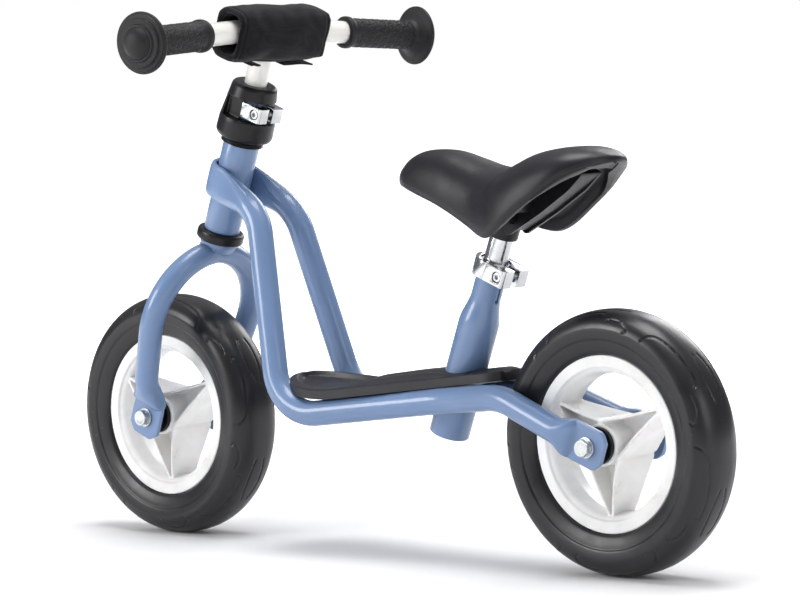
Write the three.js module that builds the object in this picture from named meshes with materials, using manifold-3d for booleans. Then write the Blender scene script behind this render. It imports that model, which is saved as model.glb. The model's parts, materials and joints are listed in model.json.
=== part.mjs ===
// Child's balance bike: a bent-tube steel frame and fork, two spoked plastic wheels with foam
// tyres, and a handlebar and a saddle that slide in clamps. Millimetres, +Z up, the ground at
// z = 0, forward along -X, the bike's left side at -Y, X = 0 midway between the axles.
import * as THREE from 'three';
import { mergeVertices } from 'three/addons/utils/BufferGeometryUtils.js';
import Module from 'manifold-3d';

const wasm = await Module();
wasm.setup();

// ---------- driving dimensions ----------
const GAP = 0.35; // kept between pieces that touch
const TYRE_R = 107.5; // 215 x 50 tyre
const TYRE_HALF = 25;
const WHEELBASE = 510;
const FRONT_X = -WHEELBASE / 2;
const REAR_X = WHEELBASE / 2;
const STEER_TILT = THREE.MathUtils.degToRad(21); // from vertical, top towards the rider
const SEAT_TILT = THREE.MathUtils.degToRad(21.66);
const SEAT_FOOT = new THREE.Vector3(72.1, 0, 105.8); // lower end of the seat tube
const FRAME_TUBE_R = 10.9;
const FORK_TUBE_R = 10.5;
const DROPOUT_Y = 39.6; // middle of each flattened tube end
const DROPOUT_HALF = 2.1;
const AXLE_HALF = DROPOUT_Y - DROPOUT_HALF - GAP;
const HEAD_R = 16;
const STEERER_R = 12.5;
const STEM_R = 10;
const SEAT_TUBE_R = 17;
const SEAT_SLEEVE_R = 12.5;
const POST_R = 10;

// Stations along the steering axis, measured from the front axle.
const CROWN_S = 157; // middle of the fork's arch
const RACE_S = 168.4; // lower headset ring
const HEAD_LOW_S = 178;
const HEAD_TOP_S = 259.6;
const COVER_S = 264.6;
const COVER_TOP_S = 315;
const STEM_CLAMP_S = 293.4; // middle of the clamp
const BAR_S = 363.4; // middle of the handlebar
const CLAMP_H = 13;

// Stations along the seat tube, measured from its lower end.
const TAPER_S = [105, 121];
const SLIT_S = 124.5;
const SEAT_CLAMP_S = [140.8, 155];
const SOCKET_S = 178;
const SADDLE_SCREW_S = 190;

// ---------- finishes ----------
const finish = (color, roughness, metalness) =>
  new THREE.MeshStandardMaterial({ color, roughness, metalness });
const BLUE = finish(0x6f8db4, 0.35, 0.2);
const WHITE_PAINT = finish(0xe9e7e2, 0.4, 0.1);
const WHITE_PLASTIC = finish(0xf2f0ea, 0.45, 0);
const BLACK_PLASTIC = finish(0x1d1c1f, 0.6, 0);
const BLACK_GLOSS = finish(0x121214, 0.25, 0);
const RUBBER = finish(0x1b1a1c, 0.75, 0);
const TYRE_BLACK = finish(0x201f20, 0.55, 0);
const CHROME = finish(0xc9ccd0, 0.15, 1);
const ZINC = finish(0xb9bec2, 0.35, 0.9);
const FABRIC = finish(0x161518, 0.95, 0);

// ---------- mesh tools ----------
/** Merges shared vertices, drops collapsed triangles and turns the faces outwards. */
function weld(geometry) {
  const bare = geometry.clone();
  bare.deleteAttribute('normal');
  bare.deleteAttribute('uv');
  const welded = mergeVertices(bare, 1e-3);
  const at = (i) => new THREE.Vector3().fromBufferAttribute(welded.attributes.position, i);
  const index = welded.index.array;
  const kept = [];
  let volume = 0;
  for (let i = 0; i < index.length; i += 3) {
    const [a, b, c] = [index[i], index[i + 1], index[i + 2]];
    if (a === b || b === c || c === a) continue;
    kept.push([a, b, c]);
    volume += at(a).dot(at(b).cross(at(c)));
  }
  const facing = volume < 0 ? kept.map(([a, b, c]) => [a, c, b]) : kept;
  welded.setIndex(facing.flat());
  return welded;
}

function toSolid(geometry) {
  const mesh = weld(geometry);
  return new wasm.Manifold(new wasm.Mesh({
    numProp: 3,
    vertProperties: new Float32Array(mesh.attributes.position.array),
    triVerts: new Uint32Array(mesh.index.array),
  }));
}

function fromSolid(solid) {
  const mesh = solid.getMesh();
  const geometry = new THREE.BufferGeometry();
  geometry.setAttribute('position', new THREE.BufferAttribute(mesh.vertProperties, 3));
  geometry.setIndex(new THREE.BufferAttribute(mesh.triVerts, 1));
  return geometry;
}

const join = (...pieces) =>
  fromSolid(pieces.map(toSolid).reduce((whole, next) => whole.add(next)));
const cut = (piece, ...tools) =>
  fromSolid(tools.map(toSolid).reduce((left, tool) => left.subtract(tool), toSolid(piece)));
const common = (piece, other) => fromSolid(toSolid(piece).intersect(toSolid(other)));

/** Turned piece about Y from [radius, height] points that close on themselves or the axis. */
function turned(points, segments = 32) {
  const profile = [...points];
  if (points[0][0] > 0) profile.push(points[0]);
  return weld(new THREE.LatheGeometry(profile.map(([r, h]) => new THREE.Vector2(r, h)), segments));
}

/** The same, standing on Z. */
const turnedZ = (points, segments) => turned(points, segments).rotateX(Math.PI / 2);

const pipe = (outer, inner, low, high, segments) =>
  turnedZ([[inner, low], [outer, low], [outer, high], [inner, high]], segments);
const rodY = (radius, low, high, segments = 20) =>
  weld(new THREE.CylinderGeometry(radius, radius, high - low, segments))
    .translate(0, (low + high) / 2, 0);
const rodZ = (radius, low, high, segments) => rodY(radius, low, high, segments).rotateX(Math.PI / 2);
const block = (x, y, z) =>
  weld(new THREE.BoxGeometry(x[1] - x[0], y[1] - y[0], z[1] - z[0]))
    .translate((x[0] + x[1]) / 2, (y[0] + y[1]) / 2, (z[0] + z[1]) / 2);

const BEND_STEP = THREE.MathUtils.degToRad(14);

/** Straight runs joined by round bends: the middle line of a bent tube. */
function bentLine(corners, radii) {
  const line = [corners[0]];
  for (let i = 1; i < corners.length - 1; i++) {
    const corner = corners[i];
    const back = corners[i - 1].clone().sub(corner).normalize();
    const ahead = corners[i + 1].clone().sub(corner).normalize();
    const half = back.angleTo(ahead) / 2;
    const radius = radii[i - 1];
    const reach = radius / Math.tan(half);
    const centre = back.clone().add(ahead).normalize().multiplyScalar(radius / Math.sin(half)).add(corner);
    const from = corner.clone().addScaledVector(back, reach).sub(centre);
    const turn = new THREE.Quaternion().setFromUnitVectors(
      from.clone().normalize(),
      corner.clone().addScaledVector(ahead, reach).sub(centre).normalize(),
    );
    const steps = Math.max(1, Math.round((Math.PI - 2 * half) / BEND_STEP));
    for (let step = 0; step <= steps; step++) {
      const part = new THREE.Quaternion().slerp(turn, step / steps);
      line.push(from.clone().applyQuaternion(part).add(centre));
    }
  }
  line.push(corners.at(-1));
  return line;
}

/** Adds points to a line at given distances from its start. */
function withStations(line, distances) {
  const points = [];
  let run = 0;
  line.forEach((point, i) => {
    points.push({ point, at: run });
    if (i < line.length - 1) run += point.distanceTo(line[i + 1]);
  });
  const curve = (d) => {
    const next = points.findIndex((p) => p.at > d);
    const [a, b] = [points[next - 1], points[next]];
    return { point: a.point.clone().lerp(b.point, (d - a.at) / (b.at - a.at)), at: d };
  };
  const spots = [...points, ...distances.map((d) => curve(d < 0 ? run + d : d))];
  spots.sort((a, b) => a.at - b.at);
  return { spots: spots.filter((s, i) => !i || s.at - spots[i - 1].at > 0.5), length: run };
}

/** One ring of a section: half sizes along `tall` and `wide`, and how square its corners are. */
function sectionRing(middle, tall, wide, { high, thick, square }, sides) {
  return Array.from({ length: sides }, (_, k) => {
    const angle = ((k + 0.5) / sides) * 2 * Math.PI;
    const bulge = (value) => Math.sign(value) * Math.abs(value) ** (2 / square);
    return middle.clone()
      .addScaledVector(tall, high * bulge(Math.sin(angle)))
      .addScaledVector(wide, thick * bulge(Math.cos(angle)));
  });
}

/** Closed skin over rings of equal length, with flat ends. */
function skin(rings) {
  const sides = rings[0].length;
  const position = rings.flat().flatMap((p) => [p.x, p.y, p.z]);
  const index = [];
  for (let r = 0; r < rings.length - 1; r++) {
    for (let k = 0; k < sides; k++) {
      const [a, b] = [r * sides + k, r * sides + ((k + 1) % sides)];
      index.push(a, b, b + sides, a, b + sides, a + sides);
    }
  }
  const last = (rings.length - 1) * sides;
  for (let k = 1; k < sides - 1; k++) index.push(0, k + 1, k, last, last + k, last + k + 1);
  const geometry = new THREE.BufferGeometry();
  geometry.setAttribute('position', new THREE.Float32BufferAttribute(position, 3));
  geometry.setIndex(index);
  return weld(geometry);
}

/** Tube along a bent line; its section changes with the distance and stands along `upright`. */
function sweptTube(line, stations, sectionAt, upright, sides = 12) {
  const { spots, length } = withStations(line, stations);
  const tangent = (i) => {
    const before = spots[Math.max(i - 1, 0)].point;
    const after = spots[Math.min(i + 1, spots.length - 1)].point;
    const here = spots[i].point;
    const ends = [here.clone().sub(before), after.clone().sub(here)].filter((v) => v.length() > 0);
    return ends.map((v) => v.normalize()).reduce((a, b) => a.clone().add(b)).normalize();
  };
  const rings = spots.map(({ point, at }, i) => {
    const along = tangent(i);
    const tall = upright.clone().addScaledVector(along, -upright.dot(along)).normalize();
    const wide = along.clone().cross(tall).normalize();
    return sectionRing(point, tall, wide, sectionAt(at, length), sides);
  });
  return skin(rings);
}

const smooth = (value, low, high) => THREE.MathUtils.smoothstep(value, low, high);
const mix = (a, b, t) => a + (b - a) * t;

// ---------- scene graph ----------
const bike = new THREE.Group();
const steering = new THREE.Group(); // its Z is the steering axis, from the front axle
steering.position.set(FRONT_X, 0, TYRE_R);
steering.rotation.y = STEER_TILT;
const seating = new THREE.Group(); // its Z is the seat tube's axis
seating.position.copy(SEAT_FOOT);
seating.rotation.y = SEAT_TILT;
bike.add(steering, seating);

function place(parent, name, geometry, material) {
  const mesh = new THREE.Mesh(geometry, material);
  mesh.name = name;
  parent.add(mesh);
  return mesh;
}

const steerPoint = (across, side, along) =>
  new THREE.Vector3(across, side, along)
    .applyAxisAngle(new THREE.Vector3(0, 1, 0), STEER_TILT)
    .add(steering.position);

// ---------- frame ----------
const RUN_SLOPE = -0.3675; // fall of the tubes behind the seat tube
const DROPOUT_END = 17; // past the axle
const FLAT_HALF = 16.4; // half height of a flattened end

function sideTubeLine(side) {
  const wrap = HEAD_R + GAP + 3.1; // middle of the flattened tube round the head tube
  const wrapS = 223.4;
  const front = [174, 147, 118, 90].map((degrees) => {
    const angle = THREE.MathUtils.degToRad(degrees);
    return steerPoint(wrap * Math.cos(angle), side * wrap * Math.sin(angle), wrapS);
  });
  const drop = (x) => TYRE_R + 0.9 + RUN_SLOPE * (x - REAR_X);
  const corners = [
    steerPoint(2, side * (wrap + 0.2), wrapS),
    steerPoint(58.5, side * 22.6, 218.6),
    new THREE.Vector3(-78.2, side * 48.3, 117),
    new THREE.Vector3(92, side * 28.4, 136.4),
    new THREE.Vector3(161.4, side * 35.4, drop(161.4)),
    new THREE.Vector3(222, side * 41.2, drop(222)),
    new THREE.Vector3(240, side * DROPOUT_Y, drop(240)),
    new THREE.Vector3(REAR_X + DROPOUT_END * 0.94, side * DROPOUT_Y, drop(REAR_X + DROPOUT_END * 0.94)),
  ];
  return [...front, ...bentLine(corners, [44, 44.6, 120, 63.5, 40, 40])];
}

function sideTubeSection(at, length) {
  const open = smooth(at, 32, 78);
  const close = smooth(length - at, 30, 62);
  const tip = smooth(length - at, 0, 6);
  const flat = close < 1;
  return {
    high: flat ? mix(mix(10, FLAT_HALF, tip), FRAME_TUBE_R, close) : mix(14.6, FRAME_TUBE_R, open),
    thick: flat ? mix(DROPOUT_HALF, FRAME_TUBE_R, close) : mix(2.9, FRAME_TUBE_R, open),
    square: flat ? mix(7, 2, close) : mix(3.5, 2, open),
  };
}

function sideTube(side, growth = 0) {
  const section = (at, length) => {
    const shape = sideTubeSection(at, length);
    return { ...shape, high: shape.high + growth, thick: shape.thick + growth };
  };
  const stations = [42, 55, 70, -6, -30, -41, -52, -62];
  return sweptTube(sideTubeLine(side), stations, section, steerPoint(0, 0, 1).sub(steering.position));
}

const headBore = (growth) => rodZ(HEAD_R + growth, HEAD_LOW_S - 20, HEAD_TOP_S + 20, 28)
  .rotateY(STEER_TILT).translate(FRONT_X, 0, TYRE_R);
const seatBore = (growth) => rodZ(SEAT_TUBE_R + growth, -5, TAPER_S[0], 28)
  .rotateY(SEAT_TILT).translate(...SEAT_FOOT);
const axleHole = (x) => rodY(4.4, -60, 60, 10).translate(x, 0, TYRE_R);

function addSideTube(name, side) {
  place(bike, name, cut(sideTube(side), headBore(GAP), seatBore(GAP), axleHole(REAR_X)), BLUE);
}

function addSeatTube() {
  const bore = POST_R + GAP;
  const tube = turnedZ([
    [15, 0], [SEAT_TUBE_R, 0], [SEAT_TUBE_R, TAPER_S[0]], [SEAT_SLEEVE_R, TAPER_S[1]],
    [SEAT_SLEEVE_R, SEAT_CLAMP_S[1] + 1], [bore, SEAT_CLAMP_S[1] + 1], [bore, TAPER_S[1] - 3],
    [15, TAPER_S[0] - 3],
  ], 28);
  const slit = block([5, 22], [-1, 1], [SLIT_S, SEAT_CLAMP_S[1] + 5]);
  const keyhole = rodZ(2, 5, 22, 12).rotateY(Math.PI / 2).translate(0, 0, SLIT_S);
  place(seating, 'seat_tube', cut(tube, slit, keyhole), BLUE);
}

/** Split clamp ring: round in front, and from a shoulder on two ears that narrow to their tips. */
function clampRing({ bore, outer, neck, shoulder, side, tip, rear, slot, low, high, screwX, grip }) {
  const shape = new THREE.Shape();
  const start = Math.asin(neck / outer);
  shape.moveTo(rear, -tip + 2);
  shape.lineTo(rear - 2, -tip);
  shape.lineTo(shoulder, -side);
  shape.lineTo(shoulder, -neck);
  shape.absarc(0, 0, outer, -start, start, true);
  shape.lineTo(shoulder, neck);
  shape.lineTo(shoulder, side);
  shape.lineTo(rear - 2, tip);
  shape.lineTo(rear, tip - 2);
  shape.closePath();
  const depth = high - low;
  const body = new THREE.ExtrudeGeometry(shape, { depth, bevelEnabled: false, curveSegments: 12 });
  const middle = (low + high) / 2;
  return cut(
    body.translate(0, 0, low),
    rodZ(bore, low - 1, high + 1, 20),
    block([0, rear + 1], [-slot, slot], [low - 1, high + 1]),
    rodY(2.8, -side - 1, side + 1, 14).translate(screwX, 0, middle),
    rodY(4.6, -side - 1, -grip + 4.5, 16).translate(screwX, 0, middle),
    rodY(4.6, grip - 4, side + 1, 6).translate(screwX, 0, middle),
  );
}

/** Socket-head screw across a clamp, with its nut in the other ear. */
function addClampScrew(parent, prefix, { grip, screwX, low, high }) {
  const middle = (low + high) / 2;
  const head = join(rodY(4.2, -grip - 0.3, -grip + 3.9, 16), rodY(2.4, -grip + 3.9, grip - 0.4, 12));
  const socket = rodY(2.3, -grip - 2, -grip + 2.2, 6);
  const nut = cut(rodY(4.2, grip - 3.6, grip - 0.2, 6), rodY(2.75, grip - 6, grip + 2, 14));
  place(parent, `${prefix}_screw`, cut(head, socket).translate(screwX, 0, middle), CHROME);
  place(parent, `${prefix}_nut`, nut.translate(screwX, 0, middle), CHROME);
}

const SEAT_CLAMP = {
  bore: SEAT_SLEEVE_R + GAP, outer: 16.8, neck: 16.3, shoulder: 4.6, side: 16.6, tip: 16, rear: 25.2,
  slot: 3.4, low: SEAT_CLAMP_S[0], high: SEAT_CLAMP_S[1], screwX: 17.6, grip: 16.2,
};
const STEM_CLAMP = {
  bore: STEERER_R + GAP, outer: 14.6, neck: 14, shoulder: 5, side: 16.4, tip: 13.6, rear: 26.2,
  slot: 2.7, low: STEM_CLAMP_S - CLAMP_H / 2, high: STEM_CLAMP_S + CLAMP_H / 2, screwX: 19.4, grip: 14.4,
};

// ---------- footboard ----------
const BOARD = { nose: -94, tail: 149, lobe: -42, lobeR: 52, tailHalf: 29, wall: 8 };
const BOARD_SLOPE = 0.117;

function boardHalf(x) {
  const waist = mix(BOARD.lobeR, BOARD.tailHalf, smooth(x, BOARD.lobe, 128));
  const toNose = Math.max(BOARD.lobe - x, 0) / (BOARD.lobe - BOARD.nose);
  const toTail = Math.max(x - (BOARD.tail - 14), 0) / 14;
  return waist * Math.sqrt(1 - toNose ** 2) * Math.sqrt(1 - 0.55 * toTail ** 2.5);
}

const boardRim = (x) => 144.3 + BOARD_SLOPE * x + 8.3 * (Math.max(-20 - x, 0) / 48) ** 1.6;
const boardCrown = (x) => mix(-3, 8, smooth(x, -45, 38)) - 5 * smooth(x, 128, BOARD.tail);

function boardRing(x) {
  const half = Math.max(boardHalf(x), 1.2);
  const rim = boardRim(x);
  const over = [1, 0.93, 0.72, 0.4, 0, -0.4, -0.72, -0.93, -1];
  const top = over.map((v) => {
    const lift = Math.min(half / 20, 1) * boardCrown(x) * (1 - Math.abs(v) ** 3);
    return new THREE.Vector3(x, v * half, rim + lift);
  });
  const under = [-1, -0.5, 0, 0.5, 1].map((v) => new THREE.Vector3(x, v * half, rim - BOARD.wall));
  return [...top, ...under];
}

function addFootboard() {
  const stations = [0, 0.035, 0.12, 0.28, 0.5, 0.75, 1].map((t) => mix(BOARD.nose, BOARD.lobe, t));
  for (let x = -26; x < 130; x += 17) stations.push(x);
  stations.push(135, 140, 145, BOARD.tail);
  const holes = [-1, 1].map((side) => rodZ(2.4, 120, 141.5, 12).translate(0, side * 15, 0));
  const board = cut(skin(stations.map(boardRing)), sideTube(-1, GAP), sideTube(1, GAP),
    seatBore(GAP + 0.1), ...holes);
  place(bike, 'footboard', board, BLACK_PLASTIC);

  const shape = new THREE.Shape();
  [[-14, -28.6], [14, -25.4], [14, 25.4], [-14, 28.6]].forEach(([x, y], i) =>
    (i ? shape.lineTo(x, y) : shape.moveTo(x, y)));
  const plate = new THREE.ExtrudeGeometry(shape, { depth: 3, bevelEnabled: false })
    .rotateY(-Math.atan(BOARD_SLOPE)).translate(0, 0, 132.3);
  const bores = [-1, 1].map((side) => rodZ(2.4, 120, 150, 12).translate(0, side * 15, 0));
  place(bike, 'footboard_bracket', cut(plate, ...bores), BLUE);
  for (const [name, side] of [['footboard_screw_left', -1], ['footboard_screw_right', 1]]) {
    const screw = join(rodZ(2, 129.5, 141, 12), rodZ(4.4, 127.5, 129.9, 14));
    place(bike, name, screw.translate(0, side * 15, 0), ZINC);
  }
}

// ---------- headset and fork ----------
function addHeadset() {
  const tube = pipe(HEAD_R, 14, HEAD_LOW_S, HEAD_TOP_S, 24);
  place(steering, 'head_tube', tube, BLUE);
  const bore = STEERER_R + 0.3;
  place(steering, 'lower_headset_bush', turnedZ([
    [bore, RACE_S], [20.2, RACE_S], [21, RACE_S + 0.8], [21, HEAD_LOW_S - 1.6],
    [20, HEAD_LOW_S - GAP], [13.7, HEAD_LOW_S - GAP], [13.7, HEAD_LOW_S + 18], [bore, HEAD_LOW_S + 18],
  ], 20), BLACK_GLOSS);
  place(steering, 'upper_headset_bush', turnedZ([
    [bore, HEAD_TOP_S - 18], [13.7, HEAD_TOP_S - 18], [13.7, HEAD_TOP_S + GAP],
    [18.6, HEAD_TOP_S + GAP], [18.8, COVER_S - 0.6], [bore, COVER_S - 0.6],
  ], 20), BLACK_PLASTIC);
}

const LEG_Y = 51;
const LEG_OUT_Y = 66;
const CROWN_SEAT_R = FORK_TUBE_R + GAP + 0.15; // a straight seat, so a little wide for the arch

function forkArch() {
  const corners = [
    new THREE.Vector3(0, -DROPOUT_Y, -17.5), new THREE.Vector3(0, -DROPOUT_Y, 14),
    new THREE.Vector3(0, -LEG_Y, 38), new THREE.Vector3(0, -LEG_OUT_Y - 6, CROWN_S),
    new THREE.Vector3(0, LEG_OUT_Y + 6, CROWN_S), new THREE.Vector3(0, LEG_Y, 38),
    new THREE.Vector3(0, DROPOUT_Y, 14), new THREE.Vector3(0, DROPOUT_Y, -17.5),
  ];
  const line = bentLine(corners, [22, 30, 63, 63, 30, 22]);
  const section = (at, length) => {
    const end = Math.min(at, length - at);
    const round = smooth(end, 28, 56);
    const tip = smooth(end, 0, 7);
    return {
      high: mix(mix(10, 18, tip), FORK_TUBE_R, round),
      thick: mix(DROPOUT_HALF, FORK_TUBE_R, round),
      square: mix(7, 2, round),
    };
  };
  const near = [6, 28, 38, 48, 57];
  const across = new THREE.Vector3(1, 0, 0);
  return sweptTube(line, [...near, ...near.map((d) => -d)], section, across);
}

function addFork() {
  const hole = rodY(4.4, -60, 60, 10);
  place(steering, 'fork_tube', cut(forkArch(), hole), BLUE);
  const steerer = turnedZ([
    [10.4, CROWN_S - 4], [15.5, CROWN_S - 4], [16.6, CROWN_S + 6], [16.6, RACE_S - GAP],
    [STEERER_R, RACE_S - GAP], [STEERER_R, STEM_CLAMP.high + 1.5], [10.4, STEM_CLAMP.high + 1.5],
  ], 20);
  const slit = block([4, 20], [-1, 1], [268, 310]);
  const crownSeat = rodY(CROWN_SEAT_R, -30, 30, 26).translate(0, 0, CROWN_S);
  place(steering, 'steerer_tube', cut(steerer, crownSeat, slit), BLUE);
}

function addHeadCover() {
  const low = COVER_S;
  const top = COVER_TOP_S;
  const shell = turnedZ([
    [13.2, low], [19.8, low], [25.2, low + 8.5], [24.8, low + 15], [19.9, top - 3], [18, top],
    [STEM_R + 0.8, top], [STEM_R + 0.8, top - 5], [15.1, top - 8], [15.1, low + 3], [13.2, low + 3],
  ], 24);
  const window = [STEM_CLAMP.low - 2.5, STEM_CLAMP.high + 2.8];
  const pockets = [-1, 1].map((side) => block(
    [-11, 30], side < 0 ? [-30, -16] : [16, 30], window));
  const mouth = block([STEM_CLAMP.shoulder - 0.5, 40], [-30, 30], window);
  place(steering, 'head_cover', cut(shell, mouth, ...pockets), BLACK_PLASTIC);
}

// ---------- handlebar ----------
const BAR_BEND_Y = 35;
const BAR_SWEEP = THREE.MathUtils.degToRad(9.1);
const FLANGE_Y = 168;
const GRIP_END = (FLANGE_Y - BAR_BEND_Y) / Math.cos(BAR_SWEEP); // flange, along the bar from its bend

function barLine() {
  const reach = (GRIP_END + 4) * Math.cos(BAR_SWEEP);
  const back = (GRIP_END + 4) * Math.sin(BAR_SWEEP);
  const point = (side, across, out) => new THREE.Vector3(across, side * out, BAR_S);
  return bentLine([
    point(-1, back, BAR_BEND_Y + reach), point(-1, 0, BAR_BEND_Y),
    point(1, 0, BAR_BEND_Y), point(1, back, BAR_BEND_Y + reach),
  ], [60, 60]);
}

function addHandlebar() {
  const round = (radius) => () => ({ high: radius, thick: radius, square: 2 });
  const up = new THREE.Vector3(0, 0, 1);
  place(steering, 'crossbar', sweptTube(barLine(), [], round(STEM_R), up, 16), WHITE_PAINT);
  const stem = pipe(STEM_R, 8, 205, BAR_S - 3, 20);
  place(steering, 'stem', cut(stem, sweptTube(barLine(), [], round(STEM_R + GAP), up, 16)), WHITE_PAINT);

  const bore = STEM_R + GAP;
  const grip = turned([
    [0, 13.5], [13, 12.6], [15.5, 8.6], [20.5, 7], [20.5, 4], [24.2, 3], [24.2, 1.2], [26.3, 1],
    [26.3, -2.2], [22, -3], [22, -5.6], [12.75, -7], [12.75, -77], [14.2, -78], [14.2, -83],
    [bore, -83], [bore, 4.6], [0, 4.6],
  ], 18);
  for (const [name, side] of [['grip_left', -1], ['grip_right', 1]]) {
    const mesh = place(steering, name, grip.clone(), RUBBER);
    mesh.rotation.z = side < 0 ? Math.PI + BAR_SWEEP : -BAR_SWEEP;
    mesh.position.set(
      GRIP_END * Math.sin(BAR_SWEEP), side * (BAR_BEND_Y + GRIP_END * Math.cos(BAR_SWEEP)), BAR_S);
  }
}

const PAD = { left: -53, right: 60, front: -17.5, rear: 21, low: -27, high: 24, corner: 12 };

function addBarPad() {
  const shape = new THREE.Shape();
  const { left, right, front, rear, low, high, corner } = PAD;
  shape.moveTo(front + corner, low);
  shape.lineTo(rear - corner, low);
  shape.absarc(rear - corner, low + corner, corner, -Math.PI / 2, 0, false);
  shape.absarc(rear - corner, high - corner, corner, 0, Math.PI / 2, false);
  shape.absarc(front + corner, high - corner, corner, Math.PI / 2, Math.PI, false);
  shape.absarc(front + corner, low + corner, corner, Math.PI, Math.PI * 1.5, false);
  shape.closePath();
  const depth = right - left;
  const sleeve = new THREE.ExtrudeGeometry(shape, { depth, bevelEnabled: false, curveSegments: 4 })
    .rotateX(Math.PI / 2).translate(0, right, BAR_S);
  const round = () => ({ high: STEM_R + 1, thick: STEM_R + 1, square: 2 });
  const bar = sweptTube(barLine(), [], round, new THREE.Vector3(0, 0, 1), 16);
  const wide = [-STEM_R - 1.5, STEM_R + 1.5];
  const stemSlot = block(wide, wide, [BAR_S + low - 5, BAR_S]);
  place(steering, 'bar_pad', cut(sleeve, bar, stemSlot), FABRIC);
}

// ---------- wheels ----------
const RIM = { flange: 71.7, face: 18.1, well: 66.5, lip: 61.5, barrel: 55.5 };
const HUB = { radius: 17, half: 24.5, bore: 12 };
const TYRE_SIDES = 28;

function tyreProfile() {
  const bead = RIM.well + 0.4;
  const inside = RIM.face - 3.4;
  const middle = 89.5;
  const half = [[bead, inside], [RIM.flange + 0.4, inside], [RIM.flange + 0.5, 20.4], [80, 23.8]];
  for (const degrees of [4, 34, 58, 76]) {
    const angle = THREE.MathUtils.degToRad(degrees);
    half.push([
      middle + (TYRE_R - middle) * Math.sin(angle) ** 0.86,
      TYRE_HALF * Math.cos(angle) ** 0.86,
    ]);
  }
  half.push([TYRE_R, 3.2]);
  return [...half, ...half.map(([r, y]) => [r, -y]).reverse()];
}

/** Lathe whose lowest facet is flat on the ground. */
function wheelTurned(points, sides) {
  const swell = 1 / Math.cos(Math.PI / sides);
  return turned(points.map(([r, y]) => [r * swell, y]), sides).rotateY(Math.PI / sides);
}

function spoke() {
  const reach = 61;
  const shape = new THREE.Shape();
  [[0, -HUB.radius + 0.4], [reach, -1.6], [reach, 1.6], [0, HUB.radius - 0.4]].forEach(([x, z], i) =>
    (i ? shape.lineTo(x, z) : shape.moveTo(x, z)));
  const hollow = new THREE.Shape();
  [[15, -10], [53, -0.7], [53, 0.7], [15, 10]].forEach(([x, z], i) =>
    (i ? hollow.lineTo(x, z) : hollow.moveTo(x, z)));
  const slab = (outline, low, high) =>
    new THREE.ExtrudeGeometry(outline, { depth: high - low, bevelEnabled: false })
      .rotateX(Math.PI / 2).translate(0, high, 0);
  const depth = turned([[0, -25], [15, -24.4], [62, -13], [62, 13], [15, 24.4], [0, 25]], 16);
  const web = 1.6;
  return cut(common(slab(shape, -26, 26), depth), slab(hollow, web, 30), slab(hollow, -30, -web));
}

function rimGeometry() {
  const { flange, face, well, lip, barrel } = RIM;
  const ring = wheelTurned([
    [barrel, 0], [barrel + 1.6, 12.5], [lip, face], [flange, face], [flange, face - 2.6],
    [well, face - 2.9], [well, -face + 2.9], [flange, -face + 2.6], [flange, -face],
    [lip, -face], [barrel + 1.6, -12.5],
  ], TYRE_SIDES);
  const hub = rodY(HUB.radius, -HUB.half, HUB.half, 24);
  const spokes = [90, 210, 330].map((degrees) =>
    spoke().rotateY(THREE.MathUtils.degToRad(degrees)));
  return cut(join(ring, hub, ...spokes), rodY(HUB.bore, -30, 30, 16));
}

function addWheel(name, x) {
  const wheel = new THREE.Group();
  wheel.position.set(x, 0, TYRE_R);
  bike.add(wheel);
  place(wheel, `${name}_rim`, rimGeometry(), WHITE_PLASTIC);
  place(wheel, `${name}_tyre`, wheelTurned(tyreProfile(), TYRE_SIDES), TYRE_BLACK);
  const bush = turned([
    [6.4, 8], [HUB.bore - GAP, 8], [HUB.bore - GAP, HUB.half + GAP], [15.2, HUB.half + GAP],
    [15.2, HUB.half + 4.2], [6.4, HUB.half + 4.2],
  ], 16);
  for (const [hand, side] of [['left', -1], ['right', 1]]) {
    const mesh = place(wheel, `${name}_bush_${hand}`, bush.clone(), BLACK_GLOSS);
    if (side < 0) mesh.rotation.z = Math.PI;
  }
}

// ---------- axles ----------
function addAxle(prefix, parent, x, z, turn) {
  const axle = new THREE.Group();
  axle.position.set(x, 0, z);
  axle.rotation.y = turn;
  parent.add(axle);
  place(axle, `${prefix}_axle_sleeve`,
    turned([[4.4, -AXLE_HALF], [6, -AXLE_HALF], [6, AXLE_HALF], [4.4, AXLE_HALF]], 12), ZINC);
  const outer = DROPOUT_Y + DROPOUT_HALF + GAP;
  const spacer = turned([
    [6.4, HUB.half + 4.7], [9.6, HUB.half + 4.7], [9.6, AXLE_HALF], [6.4, AXLE_HALF]], 14);
  const washer = turned([[4.4, outer], [8.4, outer], [8.4, outer + 1.4], [4.4, outer + 1.4]], 16);
  const face = outer + 1.4 + GAP;
  const headShape = turned([[0, face], [7.5, face], [7.5, face + 4.4], [6.3, face + 5.4], [0, face + 5.4]], 6);
  const bolt = join(headShape, rodY(4, 22, face + 1, 10));
  for (const [hand, side] of [['left', -1], ['right', 1]]) {
    const pieces = [['spacer', spacer, BLACK_PLASTIC], ['washer', washer, ZINC], ['bolt', bolt, ZINC]];
    for (const [kind, geometry, material] of pieces) {
      const mesh = place(axle, `${prefix}_${kind}_${hand}`, geometry.clone(), material);
      if (side < 0) mesh.rotation.z = Math.PI;
    }
  }
}

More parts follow.
